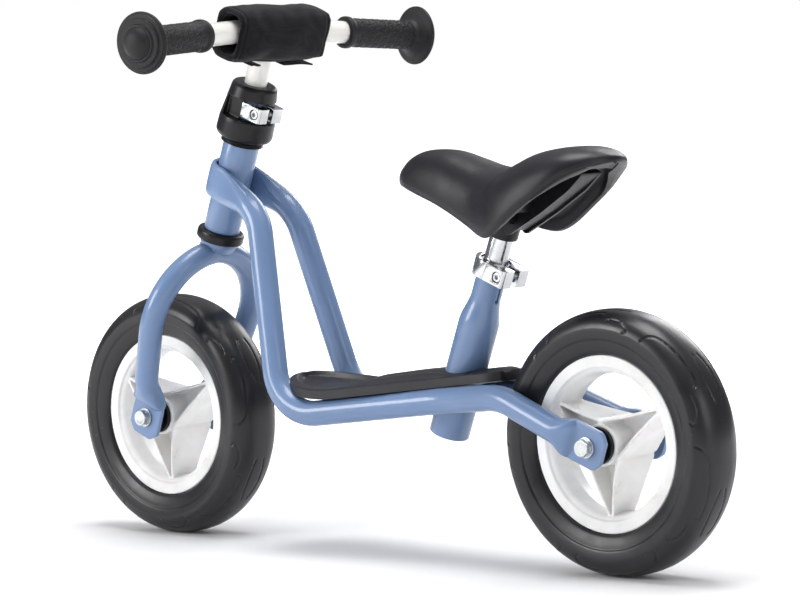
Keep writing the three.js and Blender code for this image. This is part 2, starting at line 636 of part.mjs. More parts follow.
// ---------- saddle ----------
// Rim of the shell: x, half width and height, and the height of the crown above it.
const SADDLE_STATIONS = [
  { x: 31.5, half: 5, rim: 317, crown: 322 },
  { x: 38, half: 14, rim: 314, crown: 330.5 },
  { x: 50, half: 22, rim: 311.5, crown: 338.5 },
  { x: 66, half: 27, rim: 307, crown: 343 },
  { x: 90, half: 31.5, rim: 299.5, crown: 342 },
  { x: 112, half: 34.5, rim: 290.5, crown: 336 },
  { x: 133, half: 38.5, rim: 281, crown: 329.8 },
  { x: 150, half: 45, rim: 274.2, crown: 327 },
  { x: 162, half: 50, rim: 273.2, crown: 328.6 },
  { x: 175, half: 52.5, rim: 279.5, crown: 334.5 },
  { x: 194, half: 52, rim: 293, crown: 342 },
  { x: 215, half: 49, rim: 307.5, crown: 346.2 },
  { x: 232, half: 42.5, rim: 319.5, crown: 346.8 },
  { x: 246, half: 32.5, rim: 326.5, crown: 344.2 },
  { x: 255, half: 20.5, rim: 330, crown: 340.2 },
  { x: 260, half: 7, rim: 332, crown: 336 },
];

function saddleRing({ x, half, rim, crown }, inset) {
  const halfIn = Math.max(half - inset, 1);
  const top = crown - inset;
  const foot = inset ? rim - 25 : rim;
  const over = Array.from({ length: 11 }, (_, k) => {
    const angle = (k / 10) * Math.PI;
    const spread = Math.sign(Math.cos(angle)) * Math.abs(Math.cos(angle)) ** 0.8;
    return new THREE.Vector3(x, -halfIn * spread, mix(rim, top, Math.sin(angle) ** 0.8));
  });
  if (!inset) return over;
  return [new THREE.Vector3(x, -halfIn, foot), ...over, new THREE.Vector3(x, halfIn, foot)];
}

function addSaddle() {
  const outer = skin(SADDLE_STATIONS.map((s) => saddleRing(s, 0)));
  const inner = skin(SADDLE_STATIONS.slice(2, -2).map((s) => saddleRing(s, 5)));
  const plain = new THREE.Group();
  bike.add(plain);
  place(plain, 'saddle_shell', cut(outer, inner), BLACK_PLASTIC);

  const toSeat = new THREE.Matrix4().makeRotationY(SEAT_TILT).setPosition(SEAT_FOOT);
  const socket = join(
    pipe(13, POST_R + GAP, SOCKET_S, 214, 20),
    rodZ(13, 212, 217, 20),
    block([-3, 3], [-26, 26], [199, 217]),
    block([-16, 34], [-2.5, 2.5], [197, 217]),
    block([-22, 42], [-26, 26], [214.5, 217]),
    block([18, 21], [-26, 26], [203, 217]),
  ).applyMatrix4(toSeat);
  const room = skin(SADDLE_STATIONS.map((s) => saddleRing(s, 5 + GAP)));
  const hole = rodY(2.8, -20, 20, 10).translate(0, 0, SADDLE_SCREW_S);
  const bore = rodZ(POST_R + GAP, 150, 212, 20);
  const stripped = cut(socket, bore.applyMatrix4(toSeat), hole.clone().applyMatrix4(toSeat));
  place(plain, 'saddle_base', common(stripped, room), BLACK_PLASTIC);

  place(seating, 'seat_post', cut(pipe(POST_R, 8, 22.5, 211.4, 20), hole), CHROME);
  const screw = join(rodY(2.4, -14, 12, 10), rodY(4.2, -16.3, -13.5, 12));
  place(seating, 'saddle_screw', screw.translate(0, 0, SADDLE_SCREW_S), ZINC);
}

// ---------- assembly ----------
addSideTube('frame_tube_left', -1);
addSideTube('frame_tube_right', 1);
addSeatTube();
place(seating, 'seat_clamp', clampRing(SEAT_CLAMP), CHROME);
addClampScrew(seating, 'seat_clamp', SEAT_CLAMP);
addFootboard();
addHeadset();
addFork();
addHeadCover();
place(steering, 'stem_clamp', clampRing(STEM_CLAMP), CHROME);
addClampScrew(steering, 'stem_clamp', STEM_CLAMP);
addHandlebar();
addBarPad();
addWheel('front', FRONT_X);
addWheel('rear', REAR_X);
addAxle('front', steering, 0, 0, 0);
addAxle('rear', bike, REAR_X, TYRE_R, 0);
addSaddle();

export default bike;
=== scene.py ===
"""Looks of a child's balance bike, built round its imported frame.

Every visible piece is rebuilt at a fine resolution in the place that the frame gives it, and is
dressed in a procedural finish. Lengths are millimetres in this file until a mesh is made, where
they become metres. +Z is up, the bike rolls towards -X and its left side faces -Y.
"""
from __future__ import annotations

import json
import logging
import math
from collections.abc import Callable, Iterable, Sequence
from dataclasses import dataclass, field
from enum import Enum

import bmesh
import bpy
import numpy as np
from mathutils import Matrix, Quaternion, Vector

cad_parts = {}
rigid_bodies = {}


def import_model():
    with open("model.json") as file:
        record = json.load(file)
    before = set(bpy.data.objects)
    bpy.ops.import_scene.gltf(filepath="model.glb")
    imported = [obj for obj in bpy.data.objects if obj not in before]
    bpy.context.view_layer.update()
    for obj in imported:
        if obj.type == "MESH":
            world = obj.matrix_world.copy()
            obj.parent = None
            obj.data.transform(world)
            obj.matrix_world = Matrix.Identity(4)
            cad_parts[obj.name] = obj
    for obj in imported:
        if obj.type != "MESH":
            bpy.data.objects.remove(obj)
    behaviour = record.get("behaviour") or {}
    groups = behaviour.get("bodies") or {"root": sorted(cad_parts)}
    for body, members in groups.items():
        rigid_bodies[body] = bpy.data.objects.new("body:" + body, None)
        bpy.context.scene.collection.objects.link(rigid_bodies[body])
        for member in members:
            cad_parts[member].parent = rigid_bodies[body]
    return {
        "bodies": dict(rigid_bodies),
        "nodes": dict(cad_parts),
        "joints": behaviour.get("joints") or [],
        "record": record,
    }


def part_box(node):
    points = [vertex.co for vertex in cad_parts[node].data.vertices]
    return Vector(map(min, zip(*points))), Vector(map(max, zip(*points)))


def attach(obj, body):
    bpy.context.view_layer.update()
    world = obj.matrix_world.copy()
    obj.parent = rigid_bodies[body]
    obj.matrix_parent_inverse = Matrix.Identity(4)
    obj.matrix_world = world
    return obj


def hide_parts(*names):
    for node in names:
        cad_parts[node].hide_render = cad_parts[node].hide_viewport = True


LOG = logging.getLogger("balance_bike")
MM = 0.001
SIDES = {"left": -1, "right": 1}
GAP = 0.35  # kept between pieces that touch
UP = Vector((0, 0, 1))
AXLE_HOLE = 4.4  # radius of the holes for the axle bolts
AXLE_DRILL = 60.0  # reaches past the outermost plate


# ---------- finishes ----------
class Slot(Enum):
    """Material slots of the record that the finishes stand for."""

    FRAME_PAINT = "frame_paint"
    BAR_PAINT = "bar_paint"
    CHROME = "chrome"
    ZINC = "zinc_steel"
    RIM = "rim_plastic"
    BLACK = "black_plastic"
    FOOTBOARD = "footboard_plastic"
    SADDLE = "saddle_plastic"
    GRIP = "grip_rubber"
    TYRE = "tyre_foam"
    FABRIC = "pad_fabric"


Colour = tuple[float, float, float]


class NodeTree:
    """Writes the nodes of one material round its Principled shader."""

    def __init__(self, name: str) -> None:
        """Starts an empty material.

        Args:
            name: The material's name.
        """
        self.material = bpy.data.materials.new(name)
        self.material.use_nodes = True
        self.tree = self.material.node_tree
        self.shader = next(n for n in self.tree.nodes if n.type == "BSDF_PRINCIPLED")
        self.place = self.tree.nodes.new("ShaderNodeTexCoord").outputs["Object"]

    def add(self, kind: str, **inputs: float | Sequence[float]) -> bpy.types.Node:
        """Returns a new node, with its inputs set, named with _ for each space."""
        node = self.tree.nodes.new(f"ShaderNode{kind}")
        for key, value in inputs.items():
            node.inputs[key.replace("_", " ")].default_value = value
        return node

    def set(self, **sockets: float | Colour) -> None:
        """Sets uniform values on the shader's own sockets, named with _ for each space."""
        for key, value in sockets.items():
            socket = self.shader.inputs[key.replace("_", " ")]
            socket.default_value = (*value, 1.0) if isinstance(value, tuple) else value

    def stretched(self, scale: Sequence[float]) -> bpy.types.NodeSocket:
        """Returns object coordinates scaled along each axis.

        Args:
            scale: The factor along X, Y and Z.
        """
        mapping = self.add("Mapping", Scale=scale)
        self.tree.links.new(self.place, mapping.inputs["Vector"])
        return mapping.outputs["Vector"]

    def noise(self, scale: float, detail: float = 3.0, rough: float = 0.55,
              at: bpy.types.NodeSocket | None = None) -> bpy.types.NodeSocket:
        """Returns the height of a noise.

        Args:
            scale: Blobs per metre.
            detail: How many finer layers it has.
            rough: How strong the finer layers are.
            at: Coordinates, or None for the object's own.
        """
        node = self.add("TexNoise", Scale=scale, Detail=detail, Roughness=rough)
        self.tree.links.new(at or self.place, node.inputs["Vector"])
        return node.outputs["Fac"]

    def cells(self, scale: float) -> bpy.types.NodeSocket:
        """Returns the distance to the nearest point of a Voronoi pattern.

        Args:
            scale: Cells per metre.
        """
        node = self.add("TexVoronoi", Scale=scale)
        self.tree.links.new(self.place, node.inputs["Vector"])
        return node.outputs["Distance"]

    def ramp(self, value: bpy.types.NodeSocket, low: float, high: float,
             to: tuple[float, float] = (0.0, 1.0)) -> bpy.types.NodeSocket:
        """Maps a value's range to another one.

        Args:
            value: What is mapped.
            low: The value that gives to[0].
            high: The value that gives to[1].
            to: The new range.

        Returns:
            The mapped value.
        """
        node = self.add("MapRange", From_Min=low, From_Max=high, To_Min=to[0], To_Max=to[1])
        self.tree.links.new(value, node.inputs["Value"])
        return node.outputs["Result"]

    def tint(self, value: bpy.types.NodeSocket, dark: Colour, light: Colour) -> bpy.types.NodeSocket:
        """Returns a colour between two as a value goes from 0 to 1.

        Args:
            value: The share of the light colour.
            dark: The colour at 0.
            light: The colour at 1.
        """
        node = self.add("ValToRGB")
        node.color_ramp.elements[0].color = (*dark, 1.0)
        node.color_ramp.elements[1].color = (*light, 1.0)
        self.tree.links.new(value, node.inputs["Fac"])
        return node.outputs["Color"]

    def bump(self, height: bpy.types.NodeSocket, depth: float,
             under: bpy.types.NodeSocket | None = None) -> bpy.types.NodeSocket:
        """Returns a normal that follows a height.

        Args:
            height: From 0 to 1.
            depth: What 1 stands for, in millimetres.
            under: A bump that this one lies on, or None.
        """
        node = self.add("Bump", Distance=depth * MM)
        self.tree.links.new(height, node.inputs["Height"])
        if under is not None:
            self.tree.links.new(under, node.inputs["Normal"])
        return node.outputs["Normal"]

    def math(self, kind: str, first: bpy.types.NodeSocket,
             second: bpy.types.NodeSocket | float) -> bpy.types.NodeSocket:
        """Joins two values.

        Args:
            kind: Blender's name of the operation.
            first: The first value.
            second: The second value.

        Returns:
            The result.
        """
        node = self.add("Math")
        node.operation = kind
        self.tree.links.new(first, node.inputs[0])
        if isinstance(second, float):
            node.inputs[1].default_value = second
        else:
            self.tree.links.new(second, node.inputs[1])
        return node.outputs[0]

    def wire(self, **sockets: bpy.types.NodeSocket) -> None:
        """Links varying values to the shader's sockets, named with _ for each space."""
        for key, value in sockets.items():
            self.tree.links.new(value, self.shader.inputs[key.replace("_", " ")])


def shade(colour: Colour, factor: float) -> Colour:
    """Returns a colour made darker or lighter.

    Args:
        colour: The colour.
        factor: Below 1 is darker.
    """
    return tuple(min(1.0, c * factor) for c in colour)


@dataclass(frozen=True)
class Finish:
    """What every finish shares: its slot, colour and gloss."""

    slot: Slot
    colour: Colour
    roughness: float

    def material(self) -> bpy.types.Material:
        """Returns the finish's material, which is made on first use."""
        name = f"{self.slot.value}_{type(self).__name__.lower()}"
        return bpy.data.materials.get(name) or self.build(name)

    def build(self, name: str) -> bpy.types.Material:
        """Makes the material.

        Args:
            name: The material's name.

        Returns:
            The new material.
        """
        raise NotImplementedError


@dataclass(frozen=True)
class PowderCoat(Finish):
    """Stove-baked paint: slight orange peel under a clear gloss, with faint handling marks."""

    peel: float = 0.05
    coat: float = 0.5

    def build(self, name: str) -> bpy.types.Material:
        """Makes the paint, as Finish.build says."""
        nodes = NodeTree(name)
        tone = nodes.ramp(nodes.noise(9.0, 4.0), 0.35, 0.65)
        marks = nodes.ramp(nodes.noise(140.0, 6.0, 0.7), 0.45, 0.8)
        nodes.wire(
            Base_Color=nodes.tint(tone, shade(self.colour, 0.94), shade(self.colour, 1.05)),
            Roughness=nodes.math("ADD", nodes.ramp(marks, 0.0, 1.0, (0.0, 0.12)), self.roughness),
            Normal=nodes.bump(nodes.noise(900.0, 2.0), self.peel),
        )
        nodes.set(Coat_Weight=self.coat, Coat_Roughness=0.12, Specular_IOR_Level=0.5)
        return nodes.material


@dataclass(frozen=True)
class Plated(Finish):
    """Bright metal plating with fine polishing lines and a few dull spots."""

    lines: float = 0.01

    def build(self, name: str) -> bpy.types.Material:
        """Makes the metal, as Finish.build says."""
        nodes = NodeTree(name)
        streaks = nodes.noise(300.0, 4.0, 0.6, nodes.stretched((1.0, 1.0, 9.0)))
        spots = nodes.ramp(nodes.noise(55.0, 5.0, 0.65), 0.4, 0.75)
        nodes.wire(
            Base_Color=nodes.tint(spots, self.colour, shade(self.colour, 0.82)),
            Roughness=nodes.math("ADD", nodes.ramp(streaks, 0.3, 0.7, (0.0, 0.14)), self.roughness),
            Normal=nodes.bump(streaks, self.lines),
        )
        nodes.set(Metallic=1.0)
        return nodes.material


@dataclass(frozen=True)
class Moulded(Finish):
    """Moulded plastic, rubber or foam: a fine grain, a cloudy tone and specks of dust."""

    grain: float = 0.05
    grain_scale: float = 1500.0
    specular: float = 0.34
    sheen: float = 0.0
    dust: float = 0.0
    subsurface: float = 0.0

    def build(self, name: str) -> bpy.types.Material:
        """Makes the moulding, as Finish.build says."""
        nodes = NodeTree(name)
        cloud = nodes.ramp(nodes.noise(22.0, 5.0, 0.6), 0.3, 0.7)
        grain = nodes.cells(self.grain_scale)
        colour = nodes.tint(cloud, shade(self.colour, 0.88), shade(self.colour, 1.14))
        if self.dust:
            specks = nodes.ramp(nodes.noise(420.0, 2.0, 0.5), 0.74, 0.8)
            mix = nodes.add("Mix")
            mix.data_type = "RGBA"
            nodes.tree.links.new(nodes.math("MULTIPLY", specks, self.dust), mix.inputs["Factor"])
            nodes.tree.links.new(colour, mix.inputs["A"])
            mix.inputs["B"].default_value = (0.5, 0.49, 0.47, 1.0)
            colour = mix.outputs["Result"]
        wipe = nodes.ramp(nodes.noise(48.0, 4.0, 0.65), 0.3, 0.75, (-0.05, 0.09))
        nodes.wire(
            Base_Color=colour,
            Roughness=nodes.math("ADD", wipe, self.roughness),
            Normal=nodes.bump(grain, self.grain, nodes.bump(nodes.noise(260.0, 3.0), self.grain)),
        )
        nodes.set(Specular_IOR_Level=self.specular)
        if self.sheen:
            nodes.set(Sheen_Weight=self.sheen, Sheen_Roughness=0.4)
        if self.subsurface:
            nodes.set(Subsurface_Weight=self.subsurface, Subsurface_Scale=0.003)
        return nodes.material


@dataclass(frozen=True)
class Woven(Finish):
    """Tightly woven cloth: crossing threads, a soft fuzz and worn, slightly greyer patches."""

    threads: float = 2600.0

    def build(self, name: str) -> bpy.types.Material:
        """Makes the cloth, as Finish.build says."""
        nodes = NodeTree(name)
        weave = None
        for axis in ("Y", "Z", "X"):
            wave = nodes.add("TexWave", Scale=self.threads / (2 * math.pi), Distortion=0.6, Detail_Scale=4.0)
            wave.bands_direction = axis
            nodes.tree.links.new(nodes.place, wave.inputs["Vector"])
            height = wave.outputs["Fac"]
            weave = height if weave is None else nodes.math("MAXIMUM", weave, height)
        worn = nodes.ramp(nodes.noise(38.0, 6.0, 0.7), 0.35, 0.75)
        fuzz = nodes.noise(1900.0, 2.0)
        lint = nodes.ramp(nodes.noise(700.0, 3.0, 0.6), 0.3, 0.8)
        colour = nodes.tint(nodes.math("MULTIPLY", worn, lint), self.colour, shade(self.colour, 2.3))
        nodes.wire(
            Base_Color=colour,
            Roughness=nodes.ramp(fuzz, 0.2, 0.8, (self.roughness - 0.1, self.roughness)),
            Normal=nodes.bump(weave, 0.12, nodes.bump(fuzz, 0.1)),
        )
        nodes.set(Sheen_Weight=0.12, Sheen_Roughness=0.5, Specular_IOR_Level=0.12)
        return nodes.material


BLUE = PowderCoat(Slot.FRAME_PAINT, (0.148, 0.237, 0.42), 0.38)
WHITE = PowderCoat(Slot.BAR_PAINT, (0.80, 0.785, 0.74), 0.3)
CHROME = Plated(Slot.CHROME, (0.60, 0.61, 0.62), 0.12)
ZINC = Plated(Slot.ZINC, (0.66, 0.68, 0.68), 0.22, 0.02)
RIM_WHITE = Moulded(Slot.RIM, (0.92, 0.915, 0.885), 0.30, 0.02, 900.0, specular=0.5, subsurface=0.12)
BLACK = Moulded(Slot.BLACK, (0.0055, 0.005, 0.006), 0.34, 0.04, 1700.0, specular=0.32, dust=0.04)
BOARD = Moulded(Slot.FOOTBOARD, (0.013, 0.0125, 0.016), 0.42, 0.12, 1100.0, specular=0.5, dust=0.12)
SADDLE = Moulded(Slot.SADDLE, (0.0080, 0.0074, 0.0108), 0.39, 0.07, 1300.0, specular=0.36, sheen=0.01)
GRIP = Moulded(Slot.GRIP, (0.009, 0.0085, 0.0095), 0.55, 0.05, 1500.0, dust=0.06)
TYRE = Moulded(Slot.TYRE, (0.0075, 0.007, 0.0085), 0.34, 0.03, 800.0, specular=0.5, dust=0.25)
FABRIC = Woven(Slot.FABRIC, (0.0042, 0.0038, 0.0055), 0.95)


# ---------- shapes ----------
@dataclass
class Shape:
    """Points, in millimetres, and faces of one mesh."""

    points: np.ndarray
    faces: list[tuple[int, ...]]

    def moved(self, matrix: Matrix) -> Shape:
        """Returns the shape turned and shifted.

        Args:
            matrix: The move, with its shift in millimetres.
        """
        turn = np.array(matrix.to_3x3())
        return Shape(self.points @ turn.T + np.array(matrix.translation), self.faces)


def joined(shapes: Iterable[Shape]) -> Shape:
    """Returns several shapes as one, without welding them.

    Args:
        shapes: The shapes.
    """
    points, faces, start = [], [], 0
    for shape in shapes:
        points.append(shape.points)
        faces.extend(tuple(i + start for i in face) for face in shape.faces)
        start += len(shape.points)
    return Shape(np.vstack(points), faces)


def grid(points: np.ndarray, wrap_rows: bool, wrap_columns: bool, caps: bool = False) -> Shape:
    """Skins a grid of points.

    Args:
        points: Rows by columns by 3.
        wrap_rows: Whether the last row joins the first.
        wrap_columns: Whether the last column joins the first.
        caps: Whether the first and last rows are filled.

    Returns:
        The skin.
    """
    rows, columns = points.shape[:2]
    faces: list[tuple[int, ...]] = []
    for row in range(rows if wrap_rows else rows - 1):
        below, above = row * columns, (row + 1) % rows * columns
        for column in range(columns if wrap_columns else columns - 1):
            nxt = (column + 1) % columns
            faces.append((below + column, below + nxt, above + nxt, above + column))
    if caps:
        faces.append(tuple(reversed(range(columns))))
        faces.append(tuple(range((rows - 1) * columns, rows * columns)))
    return Shape(points.reshape(-1, 3), faces)


def softened(outline: Sequence[Sequence[float]], radius: float, steps: int = 4,
             closed: bool = True) -> np.ndarray:
    """Rounds the corners of an outline.

    Args:
        outline: Its corners.
        radius: How far from a corner the rounding starts, where the sides are long enough.
        steps: Points of one rounding, less one.
        closed: Whether the last corner joins the first.

    Returns:
        The points of the rounded outline.
    """
    corners = np.array(outline, float)
    count = len(corners)
    rounded = []
    for i, corner in enumerate(corners):
        if not closed and i in (0, count - 1):
            rounded.append(corner)
            continue
        back = corners[i - 1] - corner
        ahead = corners[(i + 1) % count] - corner
        reach = min(radius, 0.45 * np.linalg.norm(back), 0.45 * np.linalg.norm(ahead))
        start = corner + back / max(np.linalg.norm(back), 1e-9) * reach
        end = corner + ahead / max(np.linalg.norm(ahead), 1e-9) * reach
        for t in np.linspace(0, 1, steps + 1):
            rounded.append((1 - t) ** 2 * start + 2 * t * (1 - t) * corner + t ** 2 * end)
    return np.array(rounded)


def curve_through(points: Sequence[Sequence[float]], count: int) -> np.ndarray:
    """Returns points evenly spaced along a smooth curve through some points.

    Args:
        points: What it passes through.
        count: How many points it gets.
    """
    knots = np.array(points, float)
    padded = np.vstack([2 * knots[0] - knots[1], knots, 2 * knots[-1] - knots[-2]])
    fine = []
    for a, b, c, d in zip(padded, padded[1:], padded[2:], padded[3:]):
        for t in np.linspace(0, 1, 24, endpoint=False):
            fine.append(0.5 * (2 * b + (c - a) * t + (2 * a - 5 * b + 4 * c - d) * t ** 2
                               + (3 * b - a - 3 * c + d) * t ** 3))
    fine.append(knots[-1])
    line = np.array(fine)
    run = np.concatenate([[0], np.cumsum(np.linalg.norm(np.diff(line, axis=0), axis=1))])
    at = np.linspace(0, run[-1], count)
    return np.stack([np.interp(at, run, line[:, k]) for k in range(line.shape[1])], axis=1)


def turned(profile: Sequence[Sequence[float]], sides: int, closed: bool = True) -> Shape:
    """Turns a profile about Z.

    Args:
        profile: Points of radius and height.
        sides: Steps round the axis.
        closed: Whether the profile closes on itself; if not, it starts and ends on the axis.

    Returns:
        The turned shape, with a pole where an open profile meets the axis.
    """
    line = np.array(profile, float)
    angle = np.linspace(0, 2 * math.pi, sides, endpoint=False)
    body = line if closed else line[1:-1]
    points = np.stack([
        body[:, 0, None] * np.cos(angle), body[:, 0, None] * np.sin(angle),
        np.repeat(body[:, 1, None], sides, axis=1)], axis=2)
    shape = grid(points, closed, True)
    if closed:
        return shape
    poles = np.array([[0, 0, line[0, 1]], [0, 0, line[-1, 1]]])
    first, last = len(shape.points), len(shape.points) + 1
    top = (len(body) - 1) * sides
    faces = [(first, (k + 1) % sides, k) for k in range(sides)]
    faces += [(last, top + k, top + (k + 1) % sides) for k in range(sides)]
    return Shape(np.vstack([shape.points, poles]), shape.faces + faces)


def prism(outline: np.ndarray, low: float, high: float) -> Shape:
    """Raises an outline along Z.

    Args:
        outline: Its points, anticlockwise.
        low: Where it starts.
        high: Where it ends.

    Returns:
        The closed prism.
    """
    rows = np.stack([np.column_stack([outline, np.full(len(outline), z)]) for z in (low, high)])
    return grid(rows, False, True, caps=True)


def band(inner: float, outer: float, low: float, high: float) -> list[list[float]]:
    """Returns the section of a plain ring, from its inner to its outer radius and low to high."""
    return [[inner, low], [outer, low], [outer, high], [inner, high]]


def rod(radius: float, low: float, high: float, sides: int) -> Shape:
    """Returns a plain rod along Z, from low to high."""
    return turned(band(0, radius, low, high), sides, False)


def bent_line(corners: Sequence[Vector], radii: Sequence[float], step: float = 3.0) -> list[Vector]:
    """Returns the middle line of a bent tube: straight runs joined by round bends.

    Args:
        corners: Where the straight runs would meet.
        radii: The bend at each inner corner.
        step: Degrees between two points of a bend.
    """
    line = [corners[0]]
    for before, corner, after, radius in zip(corners, corners[1:], corners[2:], radii):
        back = (before - corner).normalized()
        ahead = (after - corner).normalized()
        half = back.angle(ahead) / 2
        reach = radius / math.tan(half)
        centre = corner + (back + ahead).normalized() * (radius / math.sin(half))
        start = corner + back * reach - centre
        turn = start.rotation_difference(corner + ahead * reach - centre)
        count = max(2, round(math.degrees(math.pi - 2 * half) / step))
        for k in range(count + 1):
            part = Quaternion().slerp(turn, k / count)
            line.append(centre + part @ start)
    line.append(corners[-1])
    return line


def spaced(line: Sequence[Vector], step: float) -> list[tuple[Vector, float]]:
    """Fills the straight runs of a line.

    Args:
        line: Its points.
        step: The longest gap that stays.

    Returns:
        Points with their distance from the start.
    """
    spots, run = [(line[0], 0.0)], 0.0
    for a, b in zip(line, line[1:]):
        length = (b - a).length
        if length < 1e-6:
            continue
        pieces = max(1, math.ceil(length / step))
        spots += [(a.lerp(b, k / pieces), run + length * k / pieces) for k in range(1, pieces + 1)]
        run += length
    return spots


Section = Callable[[float, float, np.ndarray], tuple[np.ndarray, np.ndarray]]


def swept(line: Sequence[Vector], section: Section, upright: Vector, sides: int = 40,
          step: float = 2.5) -> Shape:
    """Sweeps a section that changes along a line.

    Args:
        line: The middle line.
        section: Gives the height and width at each angle, from the distance and the length.
        upright: The direction that the section stands along.
        sides: Points of one ring.
        step: The longest gap between two rings.

    Returns:
        The closed tube.
    """
    spots = spaced(line, step)
    length = spots[-1][1]
    angle = (np.arange(sides) + 0.5) / sides * 2 * math.pi
    rings = []
    for i, (point, at) in enumerate(spots):
        along = (spots[min(i + 1, len(spots) - 1)][0] - spots[max(i - 1, 0)][0]).normalized()
        tall = (upright - along * upright.dot(along)).normalized()
        wide = along.cross(tall).normalized()
        high, out = section(at, length, angle)
        rings.append(np.array(point) + high[:, None] * np.array(tall) + out[:, None] * np.array(wide))
    return grid(np.array(rings), False, True, caps=True)


def squared(angle: np.ndarray, power: float) -> tuple[np.ndarray, np.ndarray]:
    """Returns the height and width of a unit ring.

    Args:
        angle: Where on the ring.
        power: 2 for a round ring, more for a squarer one.
    """
    sine, cosine = np.sin(angle), np.cos(angle)
    return (np.sign(sine) * np.abs(sine) ** (2 / power),
            np.sign(cosine) * np.abs(cosine) ** (2 / power))


def round_section(radius: float) -> Section:
    """Returns the section of a plain round tube.

    Args:
        radius: The tube's radius.
    """
    return lambda at, length, angle: (radius * np.sin(angle), radius * np.cos(angle))


def facing(side: int) -> Matrix:
    """Returns the turn that points +Z out of the bike's left side, at -1, or right side, at 1."""
    return Matrix.Rotation(-side * math.pi / 2, 4, "X")


def smooth(value: float, low: float, high: float) -> float:
    """Returns a soft step from 0 at low to 1 at high."""
    t = min(max((value - low) / (high - low), 0.0), 1.0)
    return t * t * (3 - 2 * t)


def mix(first: float, second: float, share: float) -> float:
    """Returns the value a share of the way from the first to the second."""
    return first + (second - first) * share


